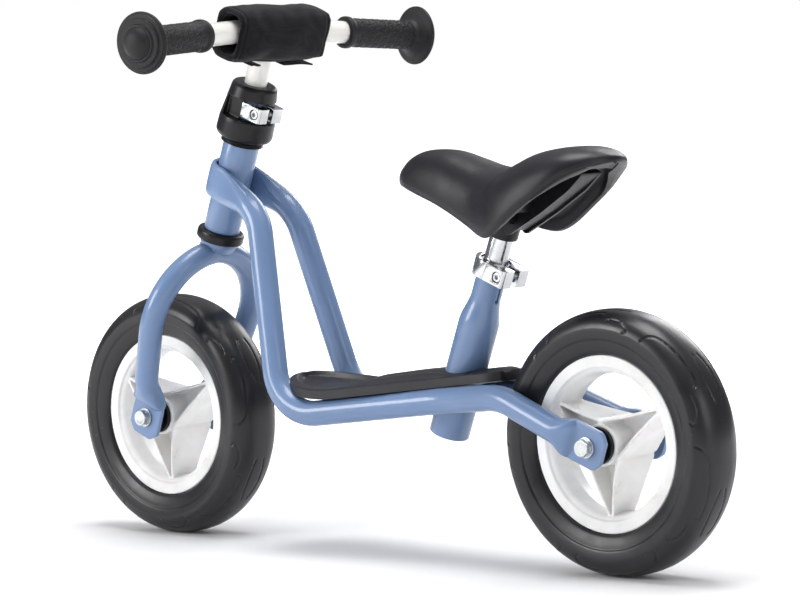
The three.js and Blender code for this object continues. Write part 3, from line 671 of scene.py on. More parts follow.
# ---------- pieces ----------
@dataclass
class Workshop:
    """Makes, dresses and hands over the pieces, and knows the frame's own axes."""

    frame: dict
    steering: Matrix = field(init=False)
    seating: Matrix = field(init=False)
    front: Matrix = field(init=False)
    rear: Matrix = field(init=False)

    def __post_init__(self) -> None:
        """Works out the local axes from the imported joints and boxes."""
        joints = {joint["name"]: joint for joint in self.frame["joints"]}
        steer = joints["steering"]
        self.steering = self.tilted(Vector(steer["pos_m"]) / MM, Vector(steer["axis"]))
        self.front = Matrix.Translation(Vector(joints["front_wheel_spin"]["pos_m"]) / MM)
        self.rear = Matrix.Translation(Vector(joints["rear_wheel_spin"]["pos_m"]) / MM)
        axis = Vector(joints["saddle_height"]["axis"])
        low, high = (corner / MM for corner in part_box("seat_tube"))
        radius = (high.y - low.y) / 2
        foot = Vector((low.x + radius * axis.z, 0.0, low.z + radius * axis.x))
        self.seating = self.tilted(foot, axis)

    @property
    def upright(self) -> Vector:
        """Gives the direction of the steering axis."""
        return self.steering.to_3x3() @ UP

    @staticmethod
    def tilted(origin: Vector, axis: Vector) -> Matrix:
        """Returns a frame whose Z lies along an axis of the bike's mid-plane.

        Args:
            origin: Its origin.
            axis: Its Z axis.
        """
        return Matrix.Translation(origin) @ Matrix.Rotation(math.atan2(axis.x, axis.z), 4, "Y")

    def blank(self, name: str, shape: Shape, place: Matrix) -> bpy.types.Object:
        """Makes an object from a shape.

        Args:
            name: The object's name.
            shape: Its points and faces, in its own frame.
            place: Where that frame stands, in millimetres.

        Returns:
            The new object, linked to the scene.
        """
        mesh = bpy.data.meshes.new(name)
        mesh.from_pydata((shape.points * MM).tolist(), [], shape.faces)
        mesh.validate()
        piece = bpy.data.objects.new(name, mesh)
        bpy.context.scene.collection.objects.link(piece)
        self.stand(piece, place)
        return piece

    @staticmethod
    def stand(piece: bpy.types.Object, place: Matrix) -> None:
        """Puts an object in its frame, given in millimetres."""
        turn = place.to_quaternion().to_matrix().to_4x4()
        piece.matrix_world = Matrix.Translation(place.translation * MM) @ turn

    @staticmethod
    def outward(piece: bpy.types.Object) -> None:
        """Turns an object's faces outwards."""
        shell = bmesh.new()
        shell.from_mesh(piece.data)
        bmesh.ops.remove_doubles(shell, verts=shell.verts, dist=1e-6)
        bmesh.ops.recalc_face_normals(shell, faces=shell.faces)
        shell.to_mesh(piece.data)
        shell.free()

    @staticmethod
    def baked(piece: bpy.types.Object) -> None:
        """Applies an object's modifiers to its mesh."""
        bpy.context.view_layer.update()
        graph = bpy.context.evaluated_depsgraph_get()
        mesh = bpy.data.meshes.new_from_object(piece.evaluated_get(graph))
        piece.modifiers.clear()
        piece.data = mesh

    def cut(self, piece: bpy.types.Object, tools: Sequence[bpy.types.Object]) -> None:
        """Takes tools out of a piece and discards them.

        Args:
            piece: What is cut.
            tools: Closed objects.
        """
        for tool in tools:
            self.outward(tool)
            modifier = piece.modifiers.new("cut", "BOOLEAN")
            modifier.object = tool
            modifier.solver = "EXACT"
        self.outward(piece)
        self.baked(piece)
        for tool in tools:
            bpy.data.objects.remove(tool)

    def moulded(self, piece: bpy.types.Object, voxel: float, passes: int = 6) -> None:
        """Fuses a piece's overlapping shapes into one skin with small fillets.

        Args:
            piece: The piece.
            voxel: The size of the skin's cells, in millimetres.
            passes: How many times it is smoothed.
        """
        self.outward(piece)
        remesh = piece.modifiers.new("skin", "REMESH")
        remesh.mode = "VOXEL"
        remesh.voxel_size = voxel * MM
        relax = piece.modifiers.new("relax", "SMOOTH")
        relax.factor = 0.5
        relax.iterations = passes
        self.baked(piece)

    def bevelled(self, piece: bpy.types.Object, width: float, segments: int = 3) -> None:
        """Rounds a piece's sharp edges.

        Args:
            piece: The piece.
            width: The rounding, in millimetres.
            segments: Its faces.
        """
        self.outward(piece)
        bevel = piece.modifiers.new("edge", "BEVEL")
        bevel.width = width * MM
        bevel.segments = segments
        bevel.limit_method = "ANGLE"
        bevel.angle_limit = math.radians(35)
        self.baked(piece)

    def hand_over(self, piece: bpy.types.Object, finish: Finish, body: str,
                  replaces: Sequence[str] = (), sharp: float = 40.0) -> bpy.types.Object:
        """Dresses a piece and fixes it to its body.

        Args:
            piece: The finished piece.
            finish: What it is made of.
            body: The body that it moves with.
            replaces: The frame's nodes that it stands for.
            sharp: Edges sharper than this many degrees stay crisp.

        Returns:
            The piece.
        """
        mesh = piece.data
        mesh.materials.clear()
        mesh.materials.append(finish.material())
        mesh.shade_smooth()
        mesh.set_sharp_from_angle(angle=math.radians(sharp))
        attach(piece, body)
        if replaces:
            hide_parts(*replaces)
        LOG.info("%s: %d faces on %s", piece.name, len(mesh.polygons), body)
        return piece

    def piece(self, name: str, shape: Shape, place: Matrix, finish: Finish, body: str,
              replaces: Sequence[str] = (), sharp: float = 40.0) -> bpy.types.Object:
        """Makes a piece that needs no modifiers. Its arguments are those of blank and hand_over."""
        made = self.blank(name, shape, place)
        self.outward(made)
        return self.hand_over(made, finish, body, replaces, sharp)


ABOUT_Y = Matrix.Rotation(-math.pi / 2, 4, "X")  # stands a shape turned about Z along Y


# ---------- wheels ----------
@dataclass
class Wheel:
    """A spoked plastic rim with its foam tyre and two hub bushes."""

    prefix: str
    place: Matrix
    body: str
    turned_about: bool = False  # the front wheel is fitted the other way round
    tyre_radius: float = 107.5
    tyre_half: float = 25.0
    shoulder_radius: float = 90.5
    rim_radius: float = 71.7
    rim_half: float = 18.1
    barrel_radius: float = 55.5
    hub_radius: float = 17.0
    hub_half: float = 24.5
    bore_radius: float = 12.0
    spoke_angles: tuple[float, ...] = (90.0, 210.0, 330.0)
    tread_repeats: int = 6
    groove_depth: float = 0.9
    groove_half: float = 1.25
    tyre_sides: int = 720
    skin: int = 118  # points of the outer section of the tyre

    def tyre_outline(self) -> np.ndarray:
        """Returns the tyre's section, from one bead over the tread to the other."""
        crown = [[self.shoulder_radius + (self.tyre_radius - self.shoulder_radius) * math.sin(a) ** 0.9,
                  self.tyre_half * math.cos(a) ** 0.86]
                 for a in np.radians([4, 16, 28, 40, 51, 61, 70, 79])]
        side = [[self.rim_radius + 0.5, self.rim_half + 0.2], [74.0, 20.0], [79.0, 21.9], [83.6, 23.0],
                [84.4, 23.0], [85.2, 23.9]]
        half = side + crown
        mirrored = [[r, -y] for r, y in reversed(half)]
        outer = curve_through(half + [[self.tyre_radius, 0.0]] + mirrored, self.skin)
        well = [[66.9, -(self.rim_half - 3.4)], [66.9, self.rim_half - 3.4],
                [self.rim_radius + 0.4, self.rim_half - 3.4]]
        return np.vstack([outer, [[self.rim_radius + 0.4, -(self.rim_half - 3.4)]], well])

    def grooves(self) -> list[np.ndarray]:
        """Returns the tread's grooves as lines of turn, in degrees, and distance from the crown."""
        long_hook = [(-2.6, 29), (-1.4, 24.5), (1.5, 20), (6, 17.5), (13, 16), (21, 15), (28, 14.6),
                     (31, 15.6), (31.6, 18)]
        side_hook = [(34.5, 23), (38, 21.8), (43, 22.6), (46.6, 25.6), (47.4, 29), (46, 30.6)]
        crown_cut = [(17, 3.0), (22, 5.6), (29, 6.8), (36, 6.2), (40, 4.4)]
        return [curve_through(line, 26) for line in (long_hook, side_hook, crown_cut)]

    def tyre(self) -> Shape:
        """Returns the tyre with its grooves pressed in."""
        outline = self.tyre_outline()
        shape = turned(outline, self.tyre_sides)
        run = np.cumsum(np.linalg.norm(np.diff(outline[:self.skin], axis=0, prepend=outline[:1]), axis=1))
        across = np.abs(run - run[-1] / 2)
        pitch = 360.0 / self.tread_repeats
        turn = np.degrees(np.linspace(0, 2 * math.pi, self.tyre_sides, endpoint=False))
        arc = math.radians(1) * (self.tyre_radius - 4)
        depth = np.zeros((self.skin, self.tyre_sides))
        for line in self.grooves():
            for shift in (-pitch, 0.0, pitch):
                for a, b in zip(line, line[1:]):
                    start = np.array([(a[0] + shift) * arc, a[1]])
                    step = np.array([(b[0] + shift) * arc, b[1]]) - start
                    spot = np.stack(np.meshgrid(turn % pitch * arc, across), axis=-1) - start
                    share = np.clip(spot @ step / (step @ step), 0, 1)
                    away = np.linalg.norm(spot - share[..., None] * step, axis=-1)
                    rise = np.clip(1 - away / self.groove_half, 0, 1)
                    depth = np.maximum(depth, rise * rise * (3 - 2 * rise))
        points = shape.points.reshape(len(outline), self.tyre_sides, 3)
        slope = np.gradient(outline[:self.skin], axis=0)
        inward = np.column_stack([slope[:, 1], -slope[:, 0]])
        inward /= np.linalg.norm(inward, axis=1)[:, None]
        inward *= -np.sign(inward[self.skin // 2, 0])
        angle = np.radians(turn)
        push = depth * self.groove_depth
        points[:self.skin, :, 0] += push * inward[:, 0, None] * np.cos(angle)
        points[:self.skin, :, 1] += push * inward[:, 0, None] * np.sin(angle)
        points[:self.skin, :, 2] += push * inward[:, 1, None]
        return Shape(points.reshape(-1, 3), shape.faces)

    def rim_ring(self) -> Shape:
        """Returns the rim without its hub: two flanges, a well between them and the barrel."""
        edge, half, barrel = self.rim_radius, self.rim_half, self.barrel_radius
        side = [[barrel + 1.9, 11.5], [57.8, 13.2], [59.6, 15.3], [60.6, 15.5], [61.3, 15.9], [62.0, half],
                [edge, half], [edge, half - 2.8], [66.4, half - 3.1]]
        other = [[r, -y] for r, y in reversed(side)]
        outline = [[barrel, 0.0], *side, *other]
        return turned(softened(outline, 0.8, 3), 240)

    def spoke(self) -> Shape:
        """Returns a spoke along +X: two deep walls that meet at the rim, with a web between them."""
        reach, stations = 61.0, 18
        wall, web = 2.6, 1.7
        along = np.concatenate([[-0.19, -0.1], np.linspace(0, 1, stations) ** 0.8])
        parts = []
        for hand in (-1, 1):
            rings = []
            for t in along:
                x = mix(13.0, reach, t)
                outer = min(mix(self.hub_radius - 1.6, 1.9, t) + 1.4 * (1 - t) ** 4, self.hub_radius - 0.4)
                inner = max(outer - wall, -1.0)
                deep = mix(23.6, 12.6, max(t, 0.0) ** 1.15)
                rings.append([[x, hand * inner, -deep], [x, hand * outer, -deep],
                              [x, hand * outer, deep], [x, hand * inner, deep]])
            parts.append(grid(np.array(rings), False, True, caps=True))
        rings = []
        for t in along:
            half = min(mix(self.hub_radius - 2.4, 1.2, t), self.hub_radius - 2.4)
            x = mix(13.0, reach, t)
            rings.append([[x, -half, -web], [x, half, -web], [x, half, web], [x, -half, web]])
        parts.append(grid(np.array(rings), False, True, caps=True))
        return joined(parts)

    def rim(self) -> Shape:
        """Returns the whole rim as overlapping shapes that are fused later."""
        hub = turned(softened(band(self.bore_radius, self.hub_radius, -self.hub_half, self.hub_half),
                              0.7, 2), 96)
        spokes = [self.spoke().moved(Matrix.Rotation(math.radians(a), 4, "Z")) for a in self.spoke_angles]
        return joined([self.rim_ring(), hub, *spokes])

    def bush(self) -> Shape:
        """Returns a hub bush: its sleeve in the bore and its flange outside, towards +Z."""
        low = self.hub_half + GAP
        return turned(softened([[6.4, 8], [self.bore_radius - GAP, 8], [self.bore_radius - GAP, low],
                                [15.2, low], [15.2, low + 3.9], [12.6, low + 3.9], [12.0, low + 2.6],
                                [8.0, low + 2.6], [7.6, low + 3.4], [6.4, low + 3.4]], 0.4, 2), 72)

    def build(self, shop: Workshop) -> None:
        """Makes the wheel's pieces.

        Args:
            shop: Makes and hands over the pieces.
        """
        about = Matrix.Rotation(math.pi, 4, "Z") if self.turned_about else Matrix.Identity(4)
        stand = self.place @ about @ ABOUT_Y
        name = self.prefix
        shop.piece(f"{name}_wheel_tyre", self.tyre(), stand, TYRE, self.body, [f"{name}_tyre"], 50)
        rim = shop.blank(f"{name}_wheel_rim", self.rim(), self.place @ ABOUT_Y)
        shop.moulded(rim, 0.75, 5)
        shop.hand_over(rim, RIM_WHITE, self.body, [f"{name}_rim"], 60)
        for hand, side in SIDES.items():
            shop.piece(f"{name}_wheel_bush_{hand}", self.bush(), self.place @ facing(side), BLACK,
                       self.body, [f"{name}_bush_{hand}"])


@dataclass
class Axle:
    """A sleeve through the hub with a spacer, a washer and a hexagon bolt on each side."""

    prefix: str
    place: Matrix
    body: str
    plate_inside: float = 37.5
    plate_outside: float = 41.7
    hub_face: float = 29.2
    head_across: float = 7.5
    washer_thick: float = 1.4

    def bolt(self) -> Shape:
        """Returns a hexagon bolt along +Z with a chamfered, dished head and a round flange."""
        face = self.plate_outside + self.washer_thick + 2 * GAP
        angle = np.linspace(0, 2 * math.pi, 72, endpoint=False)
        flat = math.cos(math.pi / 6) / np.cos((angle + math.pi / 6) % (math.pi / 3) - math.pi / 6)
        rings = []
        for height, share, hexed in ((-22.0, 0.0, 0), (-22.0, 0.42, 0), (-21.0, 0.53, 0), (0.0, 0.53, 0),
                                     (0.0, 0.97, 0), (0.9, 0.97, 0), (1.0, 1.0, 1), (4.1, 1.0, 1),
                                     (4.7, 0.955, 1), (5.1, 0.9, 0), (5.25, 0.78, 0), (5.0, 0.62, 0),
                                     (4.9, 0.3, 0), (4.9, 0.0, 0)):
            radius = self.head_across * share * (np.minimum(flat, 0.985) if hexed else np.full(72, 0.96))
            rings.append(np.column_stack([radius * np.cos(angle), radius * np.sin(angle),
                                          np.full(72, height + face)]))
        return grid(np.array(rings), False, True, caps=True)

    def build(self, shop: Workshop) -> None:
        """Makes the axle's pieces.

        Args:
            shop: Makes and hands over the pieces.
        """
        name = self.prefix
        reach = self.plate_inside - GAP
        sleeve = softened(band(AXLE_HOLE, 6, -reach, reach), 0.3, 2)
        shop.piece(f"{name}_axle_tube", turned(sleeve, 48), self.place @ ABOUT_Y, ZINC, self.body,
                   [f"{name}_axle_sleeve"])
        spacer = softened([[6.4, self.hub_face], [9.6, self.hub_face], [9.6, 32.0], [8.8, 32.6],
                           [8.8, 35.2], [9.6, 35.8], [9.6, reach], [6.4, reach]], 0.4, 2)
        face = self.plate_outside + GAP
        washer = softened(band(AXLE_HOLE, 8.4, face, face + self.washer_thick), 0.3, 2)
        for hand, side in SIDES.items():
            stand = self.place @ facing(side)
            for kind, shape, finish in (("spacer", turned(spacer, 64), BLACK),
                                        ("washer", turned(washer, 64), ZINC),
                                        ("bolt", self.bolt(), ZINC)):
                shop.piece(f"{name}_axle_{kind}_{hand}", shape, stand, finish, self.body,
                           [f"{name}_{kind}_{hand}"], 28)


# ---------- frame ----------
@dataclass
class FlatEnd:
    """How a round tube turns into a flat plate at its end."""

    tube_radius: float
    plate_half_height: float
    plate_half_thick: float
    plate_length: float = 32.0
    swell_length: float = 20.0
    corner: float = 7.0

    def section(self, left: float, angle: np.ndarray) -> tuple[np.ndarray, np.ndarray]:
        """Returns the half height and half width at each angle.

        Args:
            left: Distance from the end of the tube.
            angle: Where on the ring.
        """
        along = left - self.plate_length
        round_high, round_wide = squared(angle, 2.0)
        flat_high, flat_wide = squared(angle, 8.0)
        blend = smooth(along, 0.0, self.swell_length)
        tip = min(left / self.corner, 1.0)
        flat_half = self.plate_half_height * (1 - 0.42 * (1 - tip) ** 1.4)
        high = mix(flat_half, self.tube_radius, blend) * (blend * round_high + (1 - blend) * flat_high)
        # the swell reaches further out in the middle of the plate than at its edges
        local = np.clip((along + 6.5 * (1 - np.abs(flat_high)) - 2) / self.swell_length, 0, 1)
        rise = np.sqrt(1 - (1 - local) ** 2) if along > -8 else np.zeros_like(angle)
        thick = self.plate_half_thick + (self.tube_radius - self.plate_half_thick) * rise
        wide = thick * (blend * round_wide + (1 - blend) * flat_wide)
        return high, wide


@dataclass
class SideTube:
    """One of the two bent tubes that make the frame: flattened round the head tube, down, back and
    out to the rear axle, where its end is pressed flat."""

    hand: str
    radius: float = 10.9
    head_radius: float = 16.0
    seat_bore: float = 17.1
    wrap_height: float = 223.4
    wrap_half: float = 14.6
    wrap_thick: float = 2.9
    run_slope: float = -0.3675
    plate_y: float = 39.6
    plate_end: float = 16.0
    bends: tuple[float, ...] = (44, 44.6, 120, 63.5, 40, 40)
    end: FlatEnd = field(default_factory=lambda: FlatEnd(10.9, 16.4, 2.1))

    def line(self, shop: Workshop) -> list[Vector]:
        """Returns the tube's middle line.

        Args:
            shop: Gives the steering axis and the rear axle.
        """
        side = SIDES[self.hand]
        wrap = self.head_radius + GAP + self.wrap_thick + 0.2
        turn = np.radians(np.arange(174, 90, -6))
        front = [shop.steering @ Vector((wrap * math.cos(a), side * wrap * math.sin(a), self.wrap_height))
                 for a in turn]
        axle = shop.rear.translation

        def run(x: float, y: float) -> Vector:
            """Returns a point of the run behind the seat tube."""
            return Vector((x, side * y, axle.z + 0.9 + self.run_slope * (x - axle.x)))

        corners = [
            shop.steering @ Vector((2, side * (wrap + 0.2), self.wrap_height)),
            shop.steering @ Vector((58.5, side * 22.6, 218.6)),
            Vector((-78.2, side * 48.3, 117)),
            Vector((92, side * 28.4, 136.4)),
            run(161.4, 35.4), run(222, 41.2), run(240, self.plate_y),
            run(axle.x + self.plate_end, self.plate_y),
        ]
        return front + bent_line(corners, self.bends)

    def section(self, at: float, length: float, angle: np.ndarray) -> tuple[np.ndarray, np.ndarray]:
        """Returns the section at a distance along the tube, as Section says."""
        if length - at < 70:
            return self.end.section(length - at, angle)
        open_up = smooth(at, 30, 80)
        flat_high, flat_wide = squared(angle, 3.6)
        round_high, round_wide = squared(angle, 2.0)
        flat = 1 - open_up
        return (mix(self.wrap_half, self.radius, open_up) * (flat_high * flat + round_high * open_up),
                mix(self.wrap_thick, self.radius, open_up) * (flat_wide * flat + round_wide * open_up))

    def build(self, shop: Workshop) -> None:
        """Makes the tube.

        Args:
            shop: Makes and hands over the pieces.
        """
        tube = shop.blank(f"side_tube_{self.hand}", swept(self.line(shop), self.section, shop.upright),
                          Matrix.Identity(4))
        head = shop.blank("head_bore", rod(self.head_radius + 0.15, 150, 290, 96), shop.steering)
        seat = shop.blank("seat_bore", rod(self.seat_bore, -20, 105, 96), shop.seating)
        hole = shop.blank("axle_hole", rod(AXLE_HOLE, -AXLE_DRILL, AXLE_DRILL, 48), shop.rear @ ABOUT_Y)
        shop.cut(tube, [head, seat, hole])
        shop.hand_over(tube, BLUE, "frame", [f"frame_tube_{self.hand}"], 38)


@dataclass
class WeldBead:
    """A rippled weld along a short arc."""

    radius: float = 1.5
    ripple: float = 0.25
    pitch: float = 1.3

    def along(self, line: Sequence[Vector], upright: Vector) -> Shape:
        """Returns the bead.

        Args:
            line: Its middle line.
            upright: Any direction across it.
        """
        def section(at: float, length: float, angle: np.ndarray) -> tuple[np.ndarray, np.ndarray]:
            """Gives the bead's swelling section."""
            end = min(1.0, at / 2.0 + 0.2, (length - at) / 2.0 + 0.2)
            size = end * (self.radius + self.ripple * math.sin(2 * math.pi * at / self.pitch))
            return size * np.sin(angle), size * np.cos(angle)

        return swept(line, section, upright, 14, 0.35)


@dataclass
class HeadTube:
    """The frame's head tube with its weld beads and the lower headset ring."""

    radius: float = 16.0
    low: float = 178.0
    top: float = 259.6
    ring_low: float = 168.4
    weld_reach: float = 17.2
    weld_spread: float = 42.0  # degrees to each side of the front
    bead: WeldBead = field(default_factory=WeldBead)

    def arc(self, shop: Workshop, height: float, start: float, stop: float, reach: float) -> list[Vector]:
        """Returns an arc round the head tube.

        Args:
            shop: Gives the steering axis.
            height: Where it lies along that axis.
            start: Its first angle in degrees.
            stop: Its last angle in degrees.
            reach: Its radius.
        """
        turn = np.radians(np.linspace(start, stop, 24))
        return [shop.steering @ Vector((reach * math.cos(a), reach * math.sin(a), height)) for a in turn]

    def build(self, shop: Workshop) -> None:
        """Makes the tube, the beads and the headset.

        Args:
            shop: Makes and hands over the pieces.
        """
        tube = turned(softened(band(14, self.radius, self.low, self.top), 0.5, 2), 96)
        shop.piece("head_tube_body", tube, shop.steering, BLUE, "frame", ["head_tube"])
        for name, height in (("upper", 238.3), ("lower", 208.4)):
            bead = self.bead.along(self.arc(shop, height, 180 - self.weld_spread,
                                            180 + self.weld_spread, self.weld_reach), shop.upright)
            shop.piece(f"head_weld_{name}", bead, Matrix.Identity(4), BLUE, "frame")
        bore, top = 12.8, self.low
        low = self.ring_low
        ring = softened([[bore, low], [19.6, low], [20.9, low + 1.2], [20.9, top - 3.2], [20.3, top - 1.2],
                         [18.6, top - GAP], [13.7, top - GAP], [13.7, top + 18], [bore, top + 18]], 0.7, 3)
        shop.piece("headset_ring_lower", turned(ring, 96), shop.steering, BLACK, "frame",
                   ["lower_headset_bush"])
        self.upper_ring(shop, bore)

    def upper_ring(self, shop: Workshop, bore: float) -> None:
        """Makes the ridged ring above the head tube.

        Args:
            shop: Makes and hands over the pieces.
            bore: The ring's inner radius.
        """
        low, top = self.top + GAP, self.top + 4.2
        ridges = []
        for k in range(3):
            height = low + 0.2 + k * 1.25
            ridges += [[18.8, height], [18.8, height + 0.65], [18.1, height + 0.8], [18.1, height + 1.1]]
        outline = [[13.7, low], *ridges, [18.3, top], [bore, top], [bore, self.top - 18],
                   [13.7, self.top - 18]]
        shop.piece("headset_ring_upper", turned(softened(outline, 0.15, 1), 96), shop.steering, BLACK,
                   "frame", ["upper_headset_bush"])


@dataclass
class SeatTube:
    """The frame's seat tube: a wide foot, a short taper and a slit sleeve for the seat post."""

    radius: float = 17.0
    sleeve: float = 12.5
    bore: float = 10.35
    taper: tuple[float, float] = (105.0, 121.0)
    top: float = 156.0
    slit: float = 124.5

    def build(self, shop: Workshop) -> None:
        """Makes the tube.

        Args:
            shop: Makes and hands over the pieces.
        """
        low, high = self.taper
        shoulder = [[mix(self.radius, self.sleeve, smooth(t, 0, 1)), mix(low - 6, high + 4, t)]
                    for t in np.linspace(0, 1, 16)]
        outline = np.vstack([softened([[15, 0], [self.radius, 0], [self.radius, low - 12]], 0.6, 3, False),
                             shoulder, softened([[self.sleeve, high + 8], [self.sleeve, self.top],
                                                 [self.bore, self.top], [self.bore, high - 3],
                                                 [15, low - 3]], 0.4, 2, False)])
        tube = shop.blank("seat_tube_body", turned(outline, 96), shop.seating)
        slot = grid(np.array([[[8, y * 1.1, z], [22, y * 1.1, z]] for y, z in
                              ((-1, self.slit), (1, self.slit), (1, self.top + 5), (-1, self.top + 5))]
                             ).transpose(1, 0, 2), False, True, caps=True)
        keyhole = rod(2.1, 8, 22, 32).moved(
            Matrix.Translation((0, 0, self.slit)) @ Matrix.Rotation(math.pi / 2, 4, "Y"))
        shop.cut(tube, [shop.blank("slot", slot, shop.seating),
                        shop.blank("keyhole", keyhole, shop.seating)])
        shop.hand_over(tube, BLUE, "frame", ["seat_tube"], 36)


@dataclass
class Clamp:
    """A split clamp: a round band in front, two ears that narrow to their tips, a screw across them."""

    prefix: str
    place: Matrix
    body: str
    outer: float
    neck: float
    shoulder: float
    side: float
    tip: float
    rear: float
    slot: float
    low: float
    high: float
    screw_x: float
    grip: float
    bore: float = 12.85

    def outline(self) -> np.ndarray:
        """Returns the ring's outline, anticlockwise, with its slot."""
        start = math.asin(self.neck / self.outer)
        arc = np.linspace(start, 2 * math.pi - start, 48)
        front = np.column_stack([self.outer * np.cos(arc), self.outer * np.sin(arc)])
        mouth = math.asin(self.slot / self.bore)
        inner = np.linspace(2 * math.pi - mouth, mouth, 60)
        bore = np.column_stack([self.bore * np.cos(inner), self.bore * np.sin(inner)])
        ear = softened([[self.shoulder - 0.6, -self.neck], [self.shoulder, -self.side],
                        [self.rear - 1.6, -self.tip], [self.rear, -self.tip + 1.8],
                        [self.rear, -self.slot], [self.bore + 2, -self.slot]], 0.8, 3, False)
        far = softened([[self.bore + 2, self.slot], [self.rear, self.slot], [self.rear, self.side - 2.0],
                        [self.rear - 1.6, self.side - 0.4], [self.shoulder, self.side],
                        [self.shoulder - 0.6, self.neck]], 0.8, 3, False)
        return np.vstack([front, ear, bore, far])

    def build(self, shop: Workshop) -> None:
        """Makes the ring, the screw and the nut.

        Args:
            shop: Makes and hands over the pieces.
        """
        middle = (self.low + self.high) / 2
        ring = shop.blank(f"{self.prefix}_ring", prism(self.outline(), self.low, self.high), self.place)
        across = self.place @ Matrix.Translation((self.screw_x, 0, middle)) @ ABOUT_Y
        far, grip = self.side + 2, self.grip
        bore = shop.blank("bore", turned([[0, -far], [4.7, -far], [4.7, -grip + 4.2], [2.8, -grip + 4.8],
                                          [2.8, grip - 4], [4.7, grip - 4], [4.7, far], [0, far]],
                                         48, False), across)
        shop.cut(ring, [bore])
        shop.bevelled(ring, 0.45, 3)
        shop.hand_over(ring, CHROME, self.body, [self.prefix], 30)
        screw = shop.blank(f"{self.prefix}_bolt", turned(softened(
            [[0, 0.3 - grip], [3.7, 0.3 - grip], [4.15, 0.9 - grip], [4.15, 3.9 - grip], [2.4, 3.9 - grip],
             [2.4, grip - 0.5], [0, grip - 0.5]], 0.3, 2, False), 60, False), across)
        hexagon = turned([[0, -grip - 2], [2.3, -grip - 2], [2.3, 2.3 - grip], [0, 2.6 - grip]], 6, False)
        shop.cut(screw, [shop.blank("socket", hexagon, across)])
        shop.hand_over(screw, ZINC, self.body, [f"{self.prefix}_screw"], 30)
        nut = turned(softened(band(2.75, 4.1, grip - 3.6, grip - 0.3), 0.25, 1), 6)
        shop.piece(f"{self.prefix}_lock_nut", nut, across, ZINC, self.body, [f"{self.prefix}_nut"], 25)


# ---------- fork and head ----------
@dataclass
class Fork:
    """One tube bent into an arch over the front wheel, with its ends pressed flat at the axle."""

    radius: float = 10.5
    crown: float = 157.0
    leg_y: float = 51.0
    arch_y: float = 72.0
    plate_y: float = 39.6
    plate_end: float = 17.0
    race: float = 168.4
    steerer_radius: float = 12.5
    steerer_top: float = 301.4
    arch_bend: float = 63.0
    weld_reach: float = 14.9
    end: FlatEnd = field(default_factory=lambda: FlatEnd(10.5, 18.0, 2.1, 30.0, 22.0))

    def section(self, at: float, length: float, angle: np.ndarray) -> tuple[np.ndarray, np.ndarray]:
        """Returns the arch's section at a distance along it, as Section says."""
        left = min(at, length - at)
        if left < 64:
            return self.end.section(left, angle)
        return self.radius * np.sin(angle), self.radius * np.cos(angle)

    def line(self) -> list[Vector]:
        """Returns the arch's middle line, in the steering frame."""
        right = [Vector((0, self.plate_y, -self.plate_end)), Vector((0, self.plate_y, 14)),
                 Vector((0, self.leg_y, 38)), Vector((0, self.arch_y, self.crown))]
        left = [Vector((0, -p.y, p.z)) for p in right]
        return bent_line(left + right[::-1], [22, 30, self.arch_bend, self.arch_bend, 30, 22])

    def build(self, shop: Workshop) -> None:
        """Makes the arch, the crown and the steerer.

        Args:
            shop: Makes and hands over the pieces.
        """
        arch = shop.blank("fork_arch", swept(self.line(), self.section, Vector((1, 0, 0))), shop.steering)
        hole = shop.blank("hole", rod(AXLE_HOLE, -AXLE_DRILL, AXLE_DRILL, 48), shop.steering @ ABOUT_Y)
        shop.cut(arch, [hole])
        shop.hand_over(arch, BLUE, "fork", ["fork_tube"], 38)
        collar = softened([[10.4, self.crown + 1], [12.2, self.crown + 1], [14.6, self.crown + 3.5],
                           [16.6, self.crown + 8], [16.6, self.race - GAP],
                           [self.steerer_radius, self.race - GAP],
                           [self.steerer_radius, self.steerer_top], [10.4, self.steerer_top]], 0.6, 3)
        crown = shop.blank("fork_crown", turned(collar, 96), shop.steering)
        shop.outward(crown)
        shop.hand_over(crown, BLUE, "fork", ["steerer_tube"], 38)
        bead = WeldBead(1.35)
        for hand, side in SIDES.items():
            turn = np.radians(np.linspace(28, 152, 30)) * side
            line = []
            for a in turn:
                across, out = self.weld_reach * math.cos(a), self.weld_reach * math.sin(a)
                drop = math.sqrt(max(self.radius ** 2 - across ** 2, 0.0))
                bend = self.arch_bend - math.sqrt(self.arch_bend ** 2 - out ** 2)
                line.append(Vector((across, out, self.crown + drop - bend + 0.4)))
            inside = [p for p in line if abs(p.x) < self.radius - 0.6]
            shop.piece(f"fork_weld_{hand}", bead.along(inside, UP), shop.steering, BLUE, "fork")


